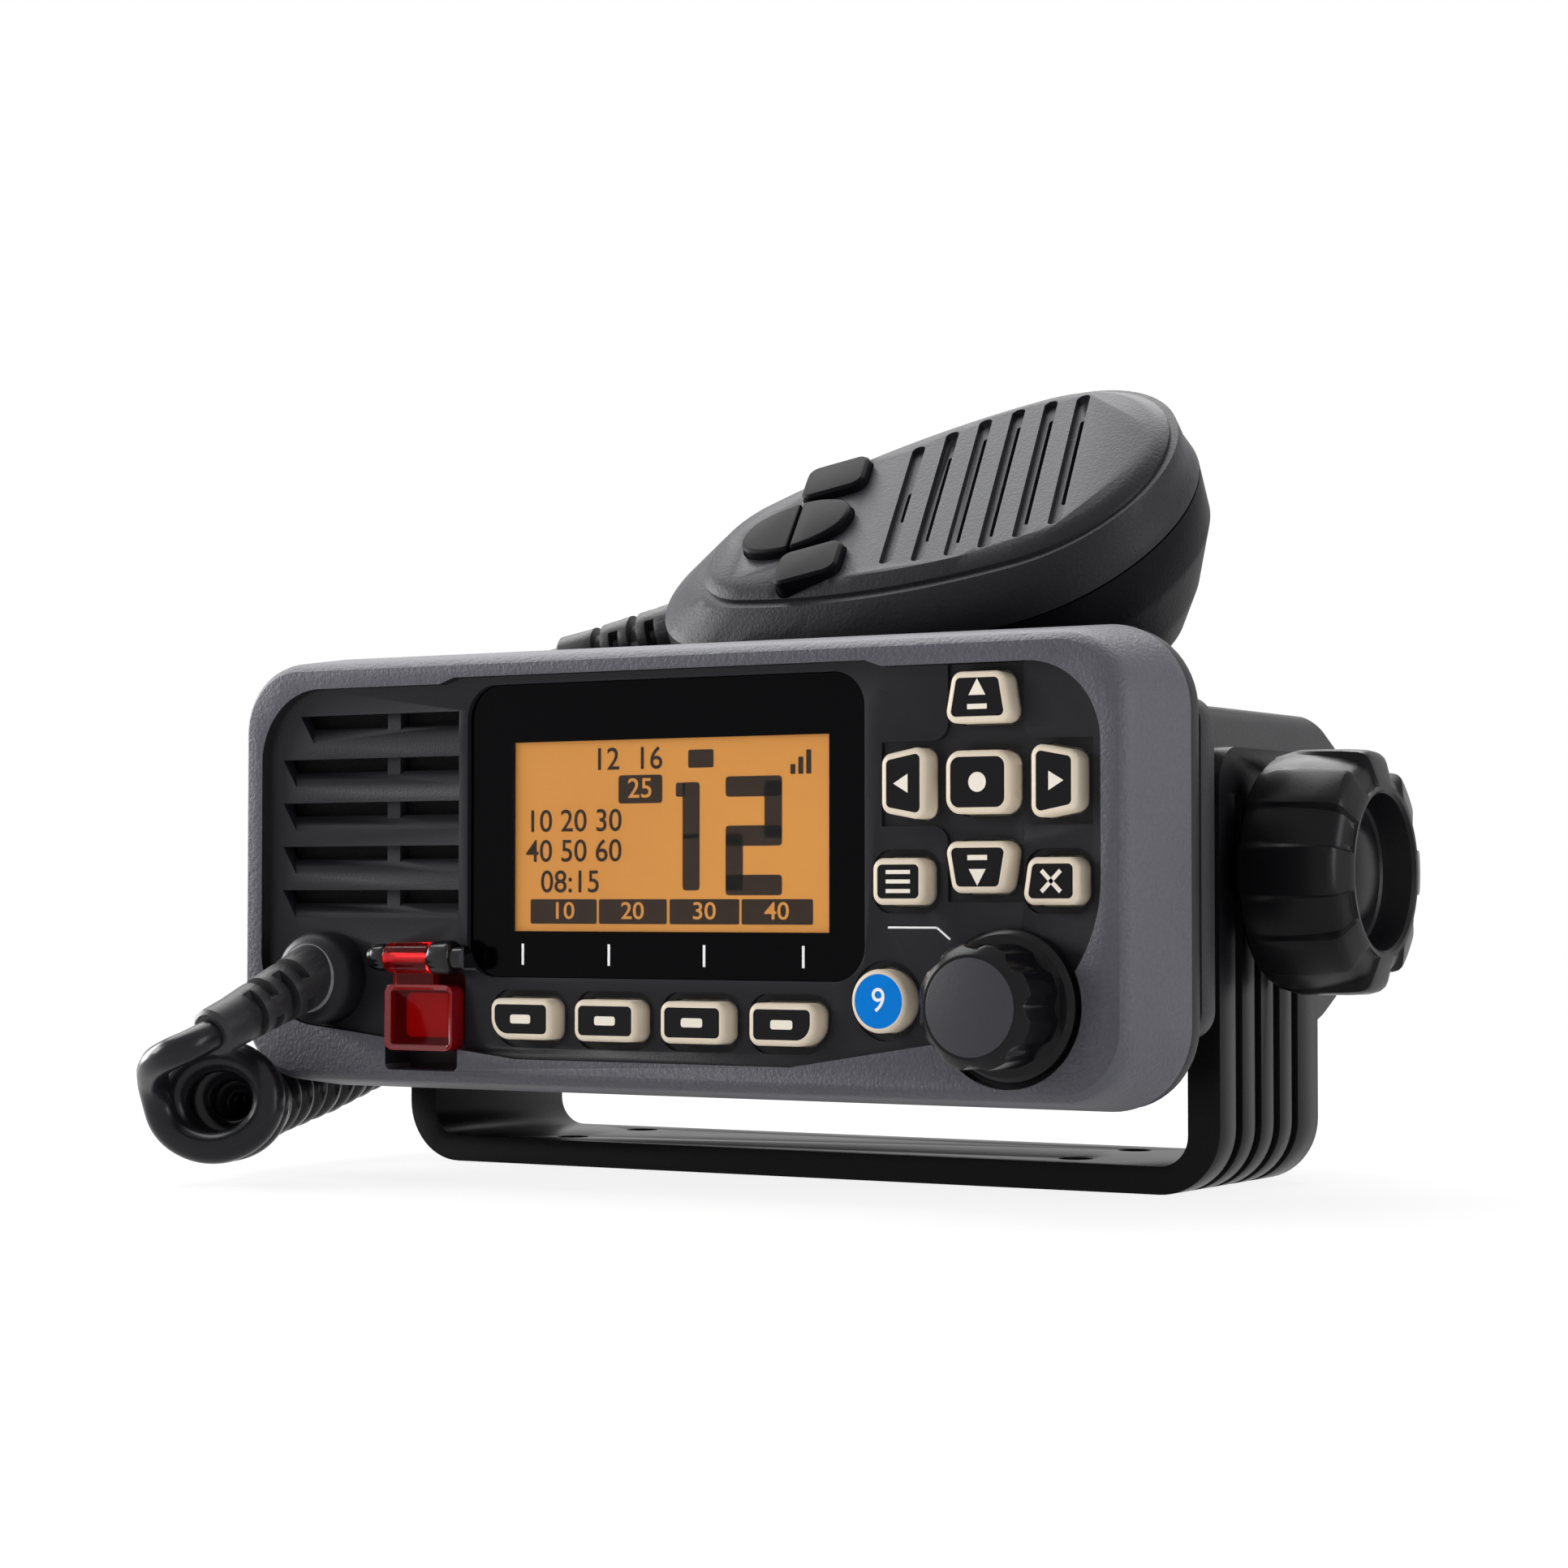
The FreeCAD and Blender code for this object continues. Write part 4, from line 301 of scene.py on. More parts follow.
def newMaterial(name, group, colour, roughness, bump, sockets, **settings):
    # a Principled surface whose colour, roughness and relief come from one of the groups
    paint = bpy.data.materials.new(name)
    paint.use_nodes = True
    tree = paint.node_tree
    surface = tree.nodes["Principled BSDF"]
    effect = tree.nodes.new("ShaderNodeGroup")
    effect.node_tree = group
    effect.inputs["Colour"].default_value = colour + (1,)
    effect.inputs["Roughness"].default_value = roughness
    for label, value in settings.items():
        effect.inputs[label.replace("_", " ")].default_value = value
    tree.links.new(effect.outputs["Colour"], surface.inputs["Base Color"])
    tree.links.new(effect.outputs["Roughness"], surface.inputs["Roughness"])
    if bump:
        relief = tree.nodes.new("ShaderNodeBump")
        relief.inputs["Strength"].default_value = bump[0]
        relief.inputs["Distance"].default_value = bump[1]
        tree.links.new(effect.outputs["Height"], relief.inputs["Height"])
        tree.links.new(relief.outputs["Normal"], surface.inputs["Normal"])
    for label, value in sockets.items():
        surface.inputs[label].default_value = value
    paint.diffuse_color = colour + (1,)
    return paint


def plastic(name, colour, roughness, specular, grain, relief, tone=0.12, sheen=0.1):
    return newMaterial(
        name, mouldedSkin, colour, roughness, (grainStrength, relief) if relief else None,
        {"Specular IOR Level": specular}, Grain_Scale=grain, Tone_Spread=tone, Sheen_Spread=sheen,
    )


def metal(name, colour, roughness):
    return newMaterial(
        name, turnedMetal, colour, roughness, metalRelief, {"Metallic": 1.0}, Line_Scale=metalLines
    )


paints = {
    "bezel": plastic("bezelPaint", (0.062, 0.062, 0.075), 0.5, 0.28, 1700.0, 0.0002, 0.45),
    "face": plastic("facePaint", (0.0115, 0.0115, 0.014), 0.36, 0.14, 2600.0, 0.00003),
    "hinge": plastic("hingePaint", (0.004, 0.004, 0.004), 0.16, 0.3, 2600.0, 0.0),
    "body": plastic("bodyPaint", (0.014, 0.014, 0.016), 0.45, 0.15, 1900.0, 0.0001, 0.2),
    "bracket": plastic("bracketPaint", (0.0045, 0.0045, 0.0055), 0.34, 0.09, 2200.0, 0.00003),
    "clamp": plastic("clampPaint", (0.0045, 0.0045, 0.0055), 0.33, 0.12, 2600.0, 0.00002),
    "keyRim": plastic("keyRimPaint", (0.66, 0.57, 0.45), 0.42, 0.3, 2600.0, 0.0, 0.05),
    "keyTop": plastic("keyTopPaint", (0.004, 0.004, 0.005), 0.4, 0.1, 2600.0, 0.00001),
    "callTop": plastic("callTopPaint", (0.0, 0.17, 0.6), 0.4, 0.05, 2600.0, 0.0, 0.05),
    "legend": plastic("legendPaint", (0.76, 0.7, 0.6), 0.5, 0.3, 2600.0, 0.0, 0.04),
    "print": plastic("printPaint", (0.8, 0.8, 0.8), 0.5, 0.3, 2600.0, 0.0, 0.04),
    "windowPrint": plastic("windowPrintPaint", (0.0005, 0.0005, 0.001), 0.12, 0.05, 900.0, 0.0, 0.05),
    "dial": plastic("dialPaint", (0.003, 0.003, 0.004), 0.2, 0.16, 2600.0, 0.00001),
    "dialCap": plastic("dialCapPaint", (0.034, 0.034, 0.04), 0.5, 0.2, 3000.0, 0.00006, 0.2),
    "rubber": plastic("rubberSkin", (0.008, 0.008, 0.01), 0.44, 0.16, 2400.0, 0.00003),
    # painted light: a lighter copy of the rubber skin's colour, standing in for the light the strain
    # reliefs catch
    "relief": plastic("reliefRubber", (0.018, 0.018, 0.02), 0.42, 0.24, 2000.0, 0.00005, 0.2),
    "cord": plastic("cordJacket", (0.007, 0.007, 0.009), 0.26, 0.2, 1800.0, 0.00002, 0.1, 0.12),
    "gland": plastic("glandPaint", (0.009, 0.009, 0.011), 0.42, 0.16, 2600.0, 0.00004),
    "glandRing": plastic("glandRingPaint", (0.15, 0.15, 0.155), 0.6, 0.3, 2200.0, 0.00025, 0.9),
    "mic": plastic("micPaint", (0.019, 0.019, 0.023), 0.42, 0.1, 1900.0, 0.00009, 0.35),
    # painted shade: the back shell takes a darker copy of the microphone's paint, standing in for the shade
    # that falls on it
    "micBack": plastic("micBackPaint", (0.0035, 0.0035, 0.005), 0.44, 0.05, 1900.0, 0.00009, 0.3),
    "micKey": plastic("micKeyRubber", (0.003, 0.003, 0.004), 0.5, 0.04, 2600.0, 0.00003),
    "redRim": plastic("coverRimPaint", (0.2, 0.003, 0.006), 0.14, 0.5, 2600.0, 0.0, 0.05),
    "redCap": plastic("redCapPaint", (0.3, 0.006, 0.006), 0.35, 0.3, 2600.0, 0.0, 0.05),
    "board": plastic("solderMask", (0.02, 0.13, 0.05), 0.4, 0.4, 900.0, 0.00002),
    "weave": plastic("speakerCloth", (0.006, 0.006, 0.006), 0.8, 0.1, 4000.0, 0.0001),
    "steel": metal("stainlessSteel", (0.6, 0.6, 0.62), 0.28),
    "nickel": metal("nickelPlate", (0.68, 0.67, 0.64), 0.22),
    "brass": metal("brassTurning", (0.72, 0.53, 0.24), 0.3),
    "pressed": metal("pressedAluminium", (0.56, 0.57, 0.58), 0.36),
}


glassIndex = 1.2
paintedRedGlow = {"colour": (0.6, 0.01, 0.015), "strength": 0.03}  # painted glow: the red moulding gives off a faint light of its own, standing in for light caught inside it


def makeGlass(name, colour, roughness, glow=None):
    paint = bpy.data.materials.new(name)
    paint.use_nodes = True
    surface = paint.node_tree.nodes["Principled BSDF"]
    surface.inputs["Base Color"].default_value = colour + (1,)
    surface.inputs["Roughness"].default_value = roughness
    surface.inputs["Transmission Weight"].default_value = 1.0
    surface.inputs["IOR"].default_value = glassIndex
    # painted glow: an emission that stands in for light caught inside the moulding
    if glow:
        surface.inputs["Emission Color"].default_value = glow["colour"] + (1,)
        surface.inputs["Emission Strength"].default_value = glow["strength"]
    return paint


paints["glass"] = makeGlass("clearWindow", (0.96, 0.97, 0.97), 0.03)
paints["redGlass"] = makeGlass("redLens", (0.95, 0.03, 0.035), 0.05, paintedRedGlow)

lcdValues = {
    "dim": (0.52, 0.2, 0.028),
    "bright": (0.66, 0.28, 0.05),
    "unevenScale": 22,
    "unevenDetail": 1,
    "glow": 0.3,
    "roughness": 0.5,
    "specular": 0.2,
}


def makeLcd(values):
    # backlit display: orange, a little brighter in places
    paint = bpy.data.materials.new("lcdBacklight")
    paint.use_nodes = True
    tree = paint.node_tree
    surface = tree.nodes["Principled BSDF"]
    where = tree.nodes.new("ShaderNodeTexCoord").outputs["Object"]
    uneven = noiseNode(tree, where, values["unevenScale"], values["unevenDetail"])
    blend = tree.nodes.new("ShaderNodeMix")
    blend.data_type = "RGBA"
    tree.links.new(uneven, blend.inputs["Factor"])
    blend.inputs["A"].default_value = values["dim"] + (1,)
    blend.inputs["B"].default_value = values["bright"] + (1,)
    tree.links.new(blend.outputs["Result"], surface.inputs["Base Color"])
    tree.links.new(blend.outputs["Result"], surface.inputs["Emission Color"])
    surface.inputs["Emission Strength"].default_value = values["glow"]
    surface.inputs["Roughness"].default_value = values["roughness"]
    surface.inputs["Specular IOR Level"].default_value = values["specular"]
    return paint


paints["lcd"] = makeLcd(lcdValues)
paints["segment"] = plastic("lcdSegment", (0.03, 0.012, 0.004), 0.5, 0.1, 900.0, 0.0, 0.05)
print("materials made:", len(paints))

# one cord from the panel's strain relief, through its coil, to the microphone

cordValues = {
    "diameter": 4.8,
    "coilDiameter": 12.4,
    "pitch": 5.02,
    "pointsPerTurn": 14,
    "firstRadius": 8.4,  # the front turn is slack, and the next ones close up behind it
    "slackTurns": (0.7, 3.0),
    "flatTurns": 0.84,  # the slack turns' height as a share of their width
    "firstSide": (-0.853, -0.521, 0),
    "leaves": 2,
    "stretches": ((-80.0, 92.0, -20.0), (-80.0, 92.0, 27.5)),
    "curveSteps": 8,
    "roundSteps": 4,
    "lead": [
        (-61.66, -23.1, -24.15), (-62.0, -26.4, -25.4), (-64.2, -28.4, -26.6), (-67.8, -27.6, -27.9),
        (-71.0, -25.2, -29.5), (-73.4, -22.3, -31.4),
    ],
    "coil": [
        (-66.2, -17.8, -34.2), (-68.6, -9.5, -35.0), (-75.2, 1.5, -36.2), (-79.0, 14, -34.6),
        (-81.4, 26, -33.0), (-83.8, 38, -30.6), (-85, 52, -27.6), (-84.5, 72, -23.5),
        (-82, 88, -6), (-79.5, 92, 12),
    ],
    "tail": [
        (-82.0, 95, 21.0), (-77.0, 94, 25.0), (-70.5, 88, 27.6), (-65.0, 79, 28.4), (-61.5, 66, 28.4),
        (-60.5, 54, 28.8), (-57.5, 44.5, 30),
    ],
    "micTip": (-41.08, 37.66, 33.51),
    "micWay": (-0.9705, -0.1278, -0.2045),
    "beforeTip": 7,
}


def splineCurve(name, points, width):
    # a smooth NURBS line that starts and ends on its outer points and runs near the others
    curve = bpy.data.curves.new(name, "CURVE")
    curve.dimensions = "3D"
    curve.resolution_u = cordValues["curveSteps"]
    curve.bevel_depth = width / 2
    curve.bevel_resolution = cordValues["roundSteps"]
    curve.use_fill_caps = True
    spline = curve.splines.new("NURBS")
    spline.points.add(len(points) - 1)
    for slot, point in zip(spline.points, points):
        slot.co = (*point, 1)
    spline.order_u = 3
    spline.use_endpoint_u = True
    line = bpy.data.objects.new(name, curve)
    bpy.context.scene.collection.objects.link(line)
    return line


def smoothPath(points):
    # the points along the NURBS line of a route
    line = splineCurve("routeLine", points, 0)
    mesh = bpy.data.meshes.new_from_object(line)
    path = [vertex.co.copy() for vertex in mesh.vertices]
    bpy.data.meshes.remove(mesh)
    bpy.data.objects.remove(line)
    return path


def pathLength(path):
    return sum((after - before).length for before, after in zip(path, path[1:]))


def alongPath(path, distance):
    for before, after in zip(path, path[1:]):
        step = (after - before).length
        if distance <= step:
            return before.lerp(after, distance / step), (after - before).normalized()
        distance -= step
    return path[-1].copy(), (path[-1] - path[-2]).normalized()


def slackness(turn, values):
    # one at the front turn, nought where the coil has closed up
    first, last = values["slackTurns"]
    share = min(max((turn - first) / (last - first), 0), 1)
    return 1 - share * share * (3 - 2 * share)


def helixPoints(path, radius, values):
    # turns about a path, starting on the first side
    total = pathLength(path)
    perTurn = values["pointsPerTurn"]
    count = int(total / (values["pitch"] * mm) * perTurn)
    points = []
    side = Vector(values["firstSide"])
    for index in range(count + 1):
        centre, along = alongPath(path, total * index / count)
        side = (side - along * side.dot(along)).normalized()
        up = side.cross(along)
        slack = slackness(index / perTurn, values)
        reach = radius + (values["firstRadius"] * mm - radius) * slack
        angle = 2 * math.pi * index / perTurn
        low = math.sin(angle) * (1 - (1 - values["flatTurns"]) * slack)
        points.append(centre + (side * math.cos(angle) + up * low) * reach)
    return points


def makeCord(values):
    lead = [fromPanel(*point) for point in values["lead"]]
    route = smoothPath([fromPanel(*point) for point in values["coil"]])
    tail = [fromPanel(*point) for point in values["tail"]]
    width = values["diameter"] * mm
    radius = (values["coilDiameter"] * mm - width) / 2
    turns = helixPoints(route, radius, values)
    onward = (turns[-1] - turns[-2]).normalized() + (route[-1] - route[-2]).normalized()
    leaving = [turns[-1] + onward * values["leaves"] * mm]
    micTip = fromPanel(*values["micTip"])
    beforeTip = micTip + Vector(values["micWay"]) * values["beforeTip"] * mm
    points = lead + turns + leaving + tail + [beforeTip, micTip]
    line = splineCurve("cordLine", points, width)
    mesh = bpy.data.meshes.new_from_object(line)
    bpy.data.objects.remove(line)
    mesh.name = "curlyCord"
    mesh.shade_smooth()
    mesh.materials.clear()
    mesh.materials.append(paints["cord"])
    cord = bpy.data.objects.new("curlyCord", mesh)
    bpy.context.scene.collection.objects.link(cord)
    path = smoothPath(points)
    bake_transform(cord)
    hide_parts("cord_lead", "cord_coil", "cord_tail")


# pieces made from a part of the model: merged, so that curves shade smoothly, and edged

record = frame["record"]
bodyOf = {node: body for body, held in record["behaviour"]["bodies"].items() for node in held}

mergeWithin = 0.003  # mm
spinWithin = 0.002  # mm, where a spun shape meets its axis
flatWithin = 0.5  # degrees
softenFrom = 35  # degrees
figureShare = 0.72  # a figure's height as a share of its letter size
plateThick = 0.02  # mm, of the flat marks


def nodeCopy(node):
    bm = bmesh.new()
    bm.from_mesh(nodes[node].data)
    bmesh.ops.remove_doubles(bm, verts=bm.verts, dist=mergeWithin * mm)
    bmesh.ops.dissolve_limit(
        bm, angle_limit=math.radians(flatWithin), verts=bm.verts, edges=bm.edges,
        use_dissolve_boundaries=False,
    )
    return bm


def softenEdges(bm, width):
    # rounds the sharp edges that are long enough to take it
    sharp = [
        edge for edge in bm.edges
        if len(edge.link_faces) == 2 and edge.calc_face_angle(0) > math.radians(softenFrom)
        and edge.calc_length() > width * mm
    ]
    bmesh.ops.bevel(
        bm, geom=sharp, offset=width * mm, segments=2, affect="EDGES", profile=0.5, material=-1,
        clamp_overlap=True,
    )


def finishPiece(name, bm, paintNames, body, replaced=(), sharp=32):
    mesh = bpy.data.meshes.new(name)
    bm.to_mesh(mesh)
    bm.free()
    for paintName in paintNames:
        mesh.materials.append(paints[paintName])
    mesh.shade_smooth()
    mesh.set_sharp_from_angle(angle=math.radians(sharp))
    piece = bpy.data.objects.new(name, mesh)
    bpy.context.scene.collection.objects.link(piece)
    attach(piece, body)
    if replaced:
        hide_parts(*replaced)
    return piece


def reshade(name, node, paintNames, edge, choose=None):
    # stands for a node with its own shape, merged and edged, and a paint for each of its faces
    bm = nodeCopy(node)
    if edge:
        softenEdges(bm, edge)
    for face in bm.faces:
        face.material_index = choose(face) if choose else 0
    return finishPiece(name, bm, paintNames, bodyOf[node], (node,))


def roundedPlate(bm, x, up, width, height, front, thick, corner, segments=4):
    # a flat plate on the panel; its front is that far behind the rim
    place = fromPanel(x, front + thick / 2, up)
    made = bmesh.ops.create_cube(bm, size=1, matrix=(
        Matrix.Translation(place) @ Matrix.Diagonal((width * mm, thick * mm, height * mm, 1))
    ))
    if corner:
        upright = [
            edge for edge in {e for v in made["verts"] for e in v.link_edges}
            if abs(edge.verts[0].co.y - edge.verts[1].co.y) > thick * mm / 2
        ]
        bmesh.ops.bevel(
            bm, geom=upright, offset=corner * mm, segments=segments, affect="EDGES", profile=0.5,
            material=-1,
        )


def triangle(bm, x, up, size, front, turn):
    # a flat three-cornered mark, pointing up before it is turned
    place = Matrix.Translation(fromPanel(x, front, up)) @ Matrix.Rotation(math.radians(turn), 4, "Y")
    made = bmesh.ops.create_circle(
        bm, cap_ends=True, segments=3, radius=size * mm, matrix=place @ Matrix.Rotation(math.pi / 2, 4, "X")
    )
    faces = {face for vertex in made["verts"] for face in vertex.link_faces}
    bmesh.ops.solidify(bm, geom=list(faces), thickness=plateThick * mm)


def writing(bm, text, x, up, height, front, bold=0.0, wide=1.0):
    # figures made a mesh and stood on the panel
    curve = bpy.data.curves.new("figures", "FONT")
    curve.body = text
    curve.align_x = "CENTER"
    curve.align_y = "CENTER"
    curve.size = height / figureShare
    curve.offset = bold
    holder = bpy.data.objects.new("figures", curve)
    bpy.context.scene.collection.objects.link(holder)
    flat = bpy.data.meshes.new_from_object(holder)
    bpy.data.objects.remove(holder)
    before = set(bm.verts)
    bm.from_mesh(flat)
    bpy.data.meshes.remove(flat)
    new = [vertex for vertex in bm.verts if vertex not in before]
    stand = (
        Matrix.Translation(fromPanel(x, front, up)) @ Matrix.Rotation(math.pi / 2, 4, "X")
        @ Matrix.Diagonal((wide * mm, mm, mm, 1))
    )
    bmesh.ops.transform(bm, matrix=stand, verts=new)


# front housing: grained bezel, and a darker, smoother recessed face

housingValues = {
    "faceHalfWidth": 72.4,
    "faceHalfHeight": 29.0,
    "cornerSum": 98.5,  # across and up together, inside the recess's rounded corners
    "step": 0.4,
    "edge": 0.16,
    "ears": (-53.0, -33.5, -17.0, -10.0),  # round the cover's hinge barrels
    "earsDeep": 1.9,
}


def makeHousing(values):
    def bezelOrFace(face):
        spot = face.calc_center_median() / mm - panelCentre
        left, right, low, high = values["ears"]
        if left < spot.x < right and low < spot.z < high and spot.y < values["earsDeep"]:
            return 2
        inside = abs(spot.x) < values["faceHalfWidth"] and abs(spot.z) < values["faceHalfHeight"]
        inside = inside and abs(spot.x) + abs(spot.z) < values["cornerSum"]
        return 1 if inside and spot.y > values["step"] else 0

    reshade("frontBezel", "front_housing", ("bezel", "face", "hinge"), values["edge"], choose=bezelOrFace)


# display: a window printed black round its clear middle, over the lit panel

displayValues = {
    "window": (0.3, 5.8, 68.0, 43.0),
    "corner": 4.9,
    "front": 2.8,
    "thick": 0.7,
    "lit": (1.1, 4.9, 54.2, 27.8),
    "figuresAt": 3.74,
    "tickUp": -12.4,
    "tickHeight": 3.1,
    "tickWidth": 0.42,
    "tickX": (-24.2, -8.9, 7.5, 24.0),
    "tickThick": 0.03,
    "bigDigits": {"1": (1.5, 4.7), "2": (15.3, 4.7)},
    "bigSize": (9.4, 16.9, 2.9),  # width, height and stroke
    "smallRows": {"10 20 30": (-15.7, 7.0), "40 50 60": (-15.7, 2.6), "08:15": (-16.3, -1.9)},
    "statusRow": ("12  16", -6.2, 15.9),
    "smallHeight": 3.3,
    "smallBold": 0.03,
    "smallWide": 1.05,
    "badge": ("25", -4.0, 11.6),
    "badgeSize": (7.6, 4.1),
    "badgeHeight": 2.9,
    "badgeWide": 1.1,
    "flagAt": (6.4, 15.8),
    "flagSize": (4.3, 2.6),
    "signalAt": (21.8, 14.0),
    "signalBars": 3,
    "signalStep": (1.3, 0.5),
    "signalSize": (0.8, 1.4),
    "plateCorners": (0.3, 0.5),
    "barTexts": ("10", "20", "30", "40"),
    "barHeight": 2.5,
    "barWide": 1.2,
    "raised": 0.06,  # pale figures stand that far before the dark plates
    "barX": (-17.5, -5.3, 7.0, 19.2),
    "barSize": (11.8, 3.6),
    "barUp": -6.1,
}


strokesOf = {"1": "bc", "2": "abged"}  # the bars of a seven-part figure that are lit
digitValues = {
    "shorter": 0.35,
    "apart": 0.2,  # the upright bars stand that far from the middle one
    "corner": 0.5,
    "flagWide": 0.6,  # the one's flag, as shares of the stroke
    "flagTall": 0.7,
    "flagLower": 0.3,
    "flagCorner": 0.3,
    "bends": 2,
}


def segmentDigit(bm, text, x, up, width, height, stroke, front):
    values = digitValues
    right = (width - stroke) / 2
    rise = (height - stroke) / 4
    apart = values["apart"]
    upright = (stroke, height / 2 - values["shorter"])
    level = (width, stroke)
    bars = {
        "a": (0, rise * 2, level), "b": (right, rise + apart, upright),
        "c": (right, -rise - apart, upright), "d": (0, -rise * 2, level),
        "e": (-right, -rise - apart, upright), "g": (0, 0, level),
    }
    for letter in strokesOf[text]:
        across, above, (wide, tall) = bars[letter]
        roundedPlate(
            bm, x + across, up + above, wide, tall, front, plateThick, values["corner"], values["bends"]
        )
    if text == "1":
        wide, tall = stroke * values["flagWide"], stroke * values["flagTall"]
        roundedPlate(
            bm, x + right - wide, up + rise * 2 - values["flagLower"], wide, tall, front, plateThick,
            values["flagCorner"], values["bends"],
        )


def makeDisplay(values):
    x, up, width, height = values["window"]
    bm = bmesh.new()
    roundedPlate(bm, x, up, width, height, values["front"], values["thick"], values["corner"], 6)
    x, up, width, height = values["lit"]
    for side in (-1, 1):
        for direction, reach in ((Vector((1, 0, 0)), width / 2), (Vector((0, 0, 1)), height / 2)):
            through = fromPanel(x, 0, up) + direction * side * reach * mm
            bmesh.ops.bisect_plane(
                bm, geom=bm.verts[:] + bm.edges[:] + bm.faces[:], plane_co=through, plane_no=direction
            )
    for face in bm.faces:
        spot = face.calc_center_median() / mm - panelCentre - Vector((x, 0, up))
        clear = abs(spot.x) < width / 2 and abs(spot.z) < height / 2
        face.material_index = 1 if clear else 0
    finishPiece(
        "displayWindow", bm, ("windowPrint", "glass"), "radio", ("display_window",)
    )
    bm = bmesh.new()
    for tick in values["tickX"]:
        roundedPlate(
            bm, tick, values["tickUp"], values["tickWidth"], values["tickHeight"],
            values["front"] - plateThick, values["tickThick"], 0.0,
        )
    finishPiece("windowTicks", bm, ("print",), "radio")
    bm = bmesh.new()
    at = values["figuresAt"]
    bold, wide = values["smallBold"], values["smallWide"]
    for text, (x, up) in values["bigDigits"].items():
        segmentDigit(bm, text, x, up, *values["bigSize"], at)
    for text, (x, up) in values["smallRows"].items():
        writing(bm, text, x, up, values["smallHeight"], at, bold, wide)
    writing(bm, *values["statusRow"], values["smallHeight"], at, bold, wide)
    small, large = values["plateCorners"]
    text, x, up = values["badge"]
    roundedPlate(bm, x, up, *values["badgeSize"], at, plateThick, large)
    roundedPlate(bm, *values["flagAt"], *values["flagSize"], at, plateThick, small)
    x, up = values["signalAt"]
    across, above = values["signalStep"]
    width, height = values["signalSize"]
    for step in range(values["signalBars"]):
        roundedPlate(bm, x + step * across, up + step * above, width, height + step, at, plateThick, 0.0)
    for x in values["barX"]:
        roundedPlate(bm, x, values["barUp"], *values["barSize"], at, plateThick, small)
    finishPiece("displayFigures", bm, ("segment",), "radio")
    bm = bmesh.new()
    at -= values["raised"]
    for text, x in zip(values["barTexts"], values["barX"]):
        writing(bm, text, x, values["barUp"], values["barHeight"], at, bold, values["barWide"])
    writing(bm, *values["badge"], values["badgeHeight"], at, bold, values["badgeWide"])
    finishPiece("barFigures", bm, ("lcd",), "radio")


# keys: ivory mouldings with black tops and pale marks

keyValues = {
    "front": -0.4,
    "ring": 0.42,
    "callRing": 0.2,
    "softkeyX": (-22.35, -7.45, 7.45, 22.35),
    "softkeyUp": -21.8,
    "padX": 53.3,
    "padUp": 11.5,
    "padReach": 11.5,
    "markRaised": 0.03,
    "markThick": 0.04,
    "softkeyMark": (3.6, 1.3),
    "softkeyCorner": 0.35,
    "arrow": 1.5,
    "arrowShift": 1.0,
    "arrowBar": (3.0, 0.7),
    "arrowBarLower": 1.3,
    "dot": 1.35,
    "menuAt": (41.0, -1.9),
    "menuBar": (3.8, 0.55),
    "menuStep": 1.3,
    "clearAt": (64.4, -1.9),
    "clearBar": (4.0, 0.6),
    "callAt": (37.9, -18.3),
    "callHeight": 3.4,
}


def turned(bm, draw, centre, turn):
    # draws a mark and turns it about a point of the panel
    before = set(bm.verts)
    draw()
    bmesh.ops.rotate(
        bm, cent=centre, matrix=Matrix.Rotation(math.radians(turn), 3, "Y"),
        verts=[vertex for vertex in bm.verts if vertex not in before],
    )


def makeKeyCaps(values):
    for node in sorted(nodes):
        if not (node.startswith("softkey_") or node.startswith("key_")):
            continue
        bm = nodeCopy(node)
        top = max(
            bm.faces, key=lambda face: -face.normal.y * face.calc_area() - face.calc_center_median().y
        )
        ring = values["callRing"] if node == "key_call" else values["ring"]
        bmesh.ops.inset_region(bm, faces=[top], thickness=ring * mm, depth=0, use_even_offset=True)
        for face in bm.faces:
            face.material_index = 0
        top.material_index = 1
        paintNames = ("keyRim", "callTop") if node == "key_call" else ("keyRim", "keyTop")
        finishPiece(node.replace("_", "") + "Cap", bm, paintNames, node, (node,), 28)


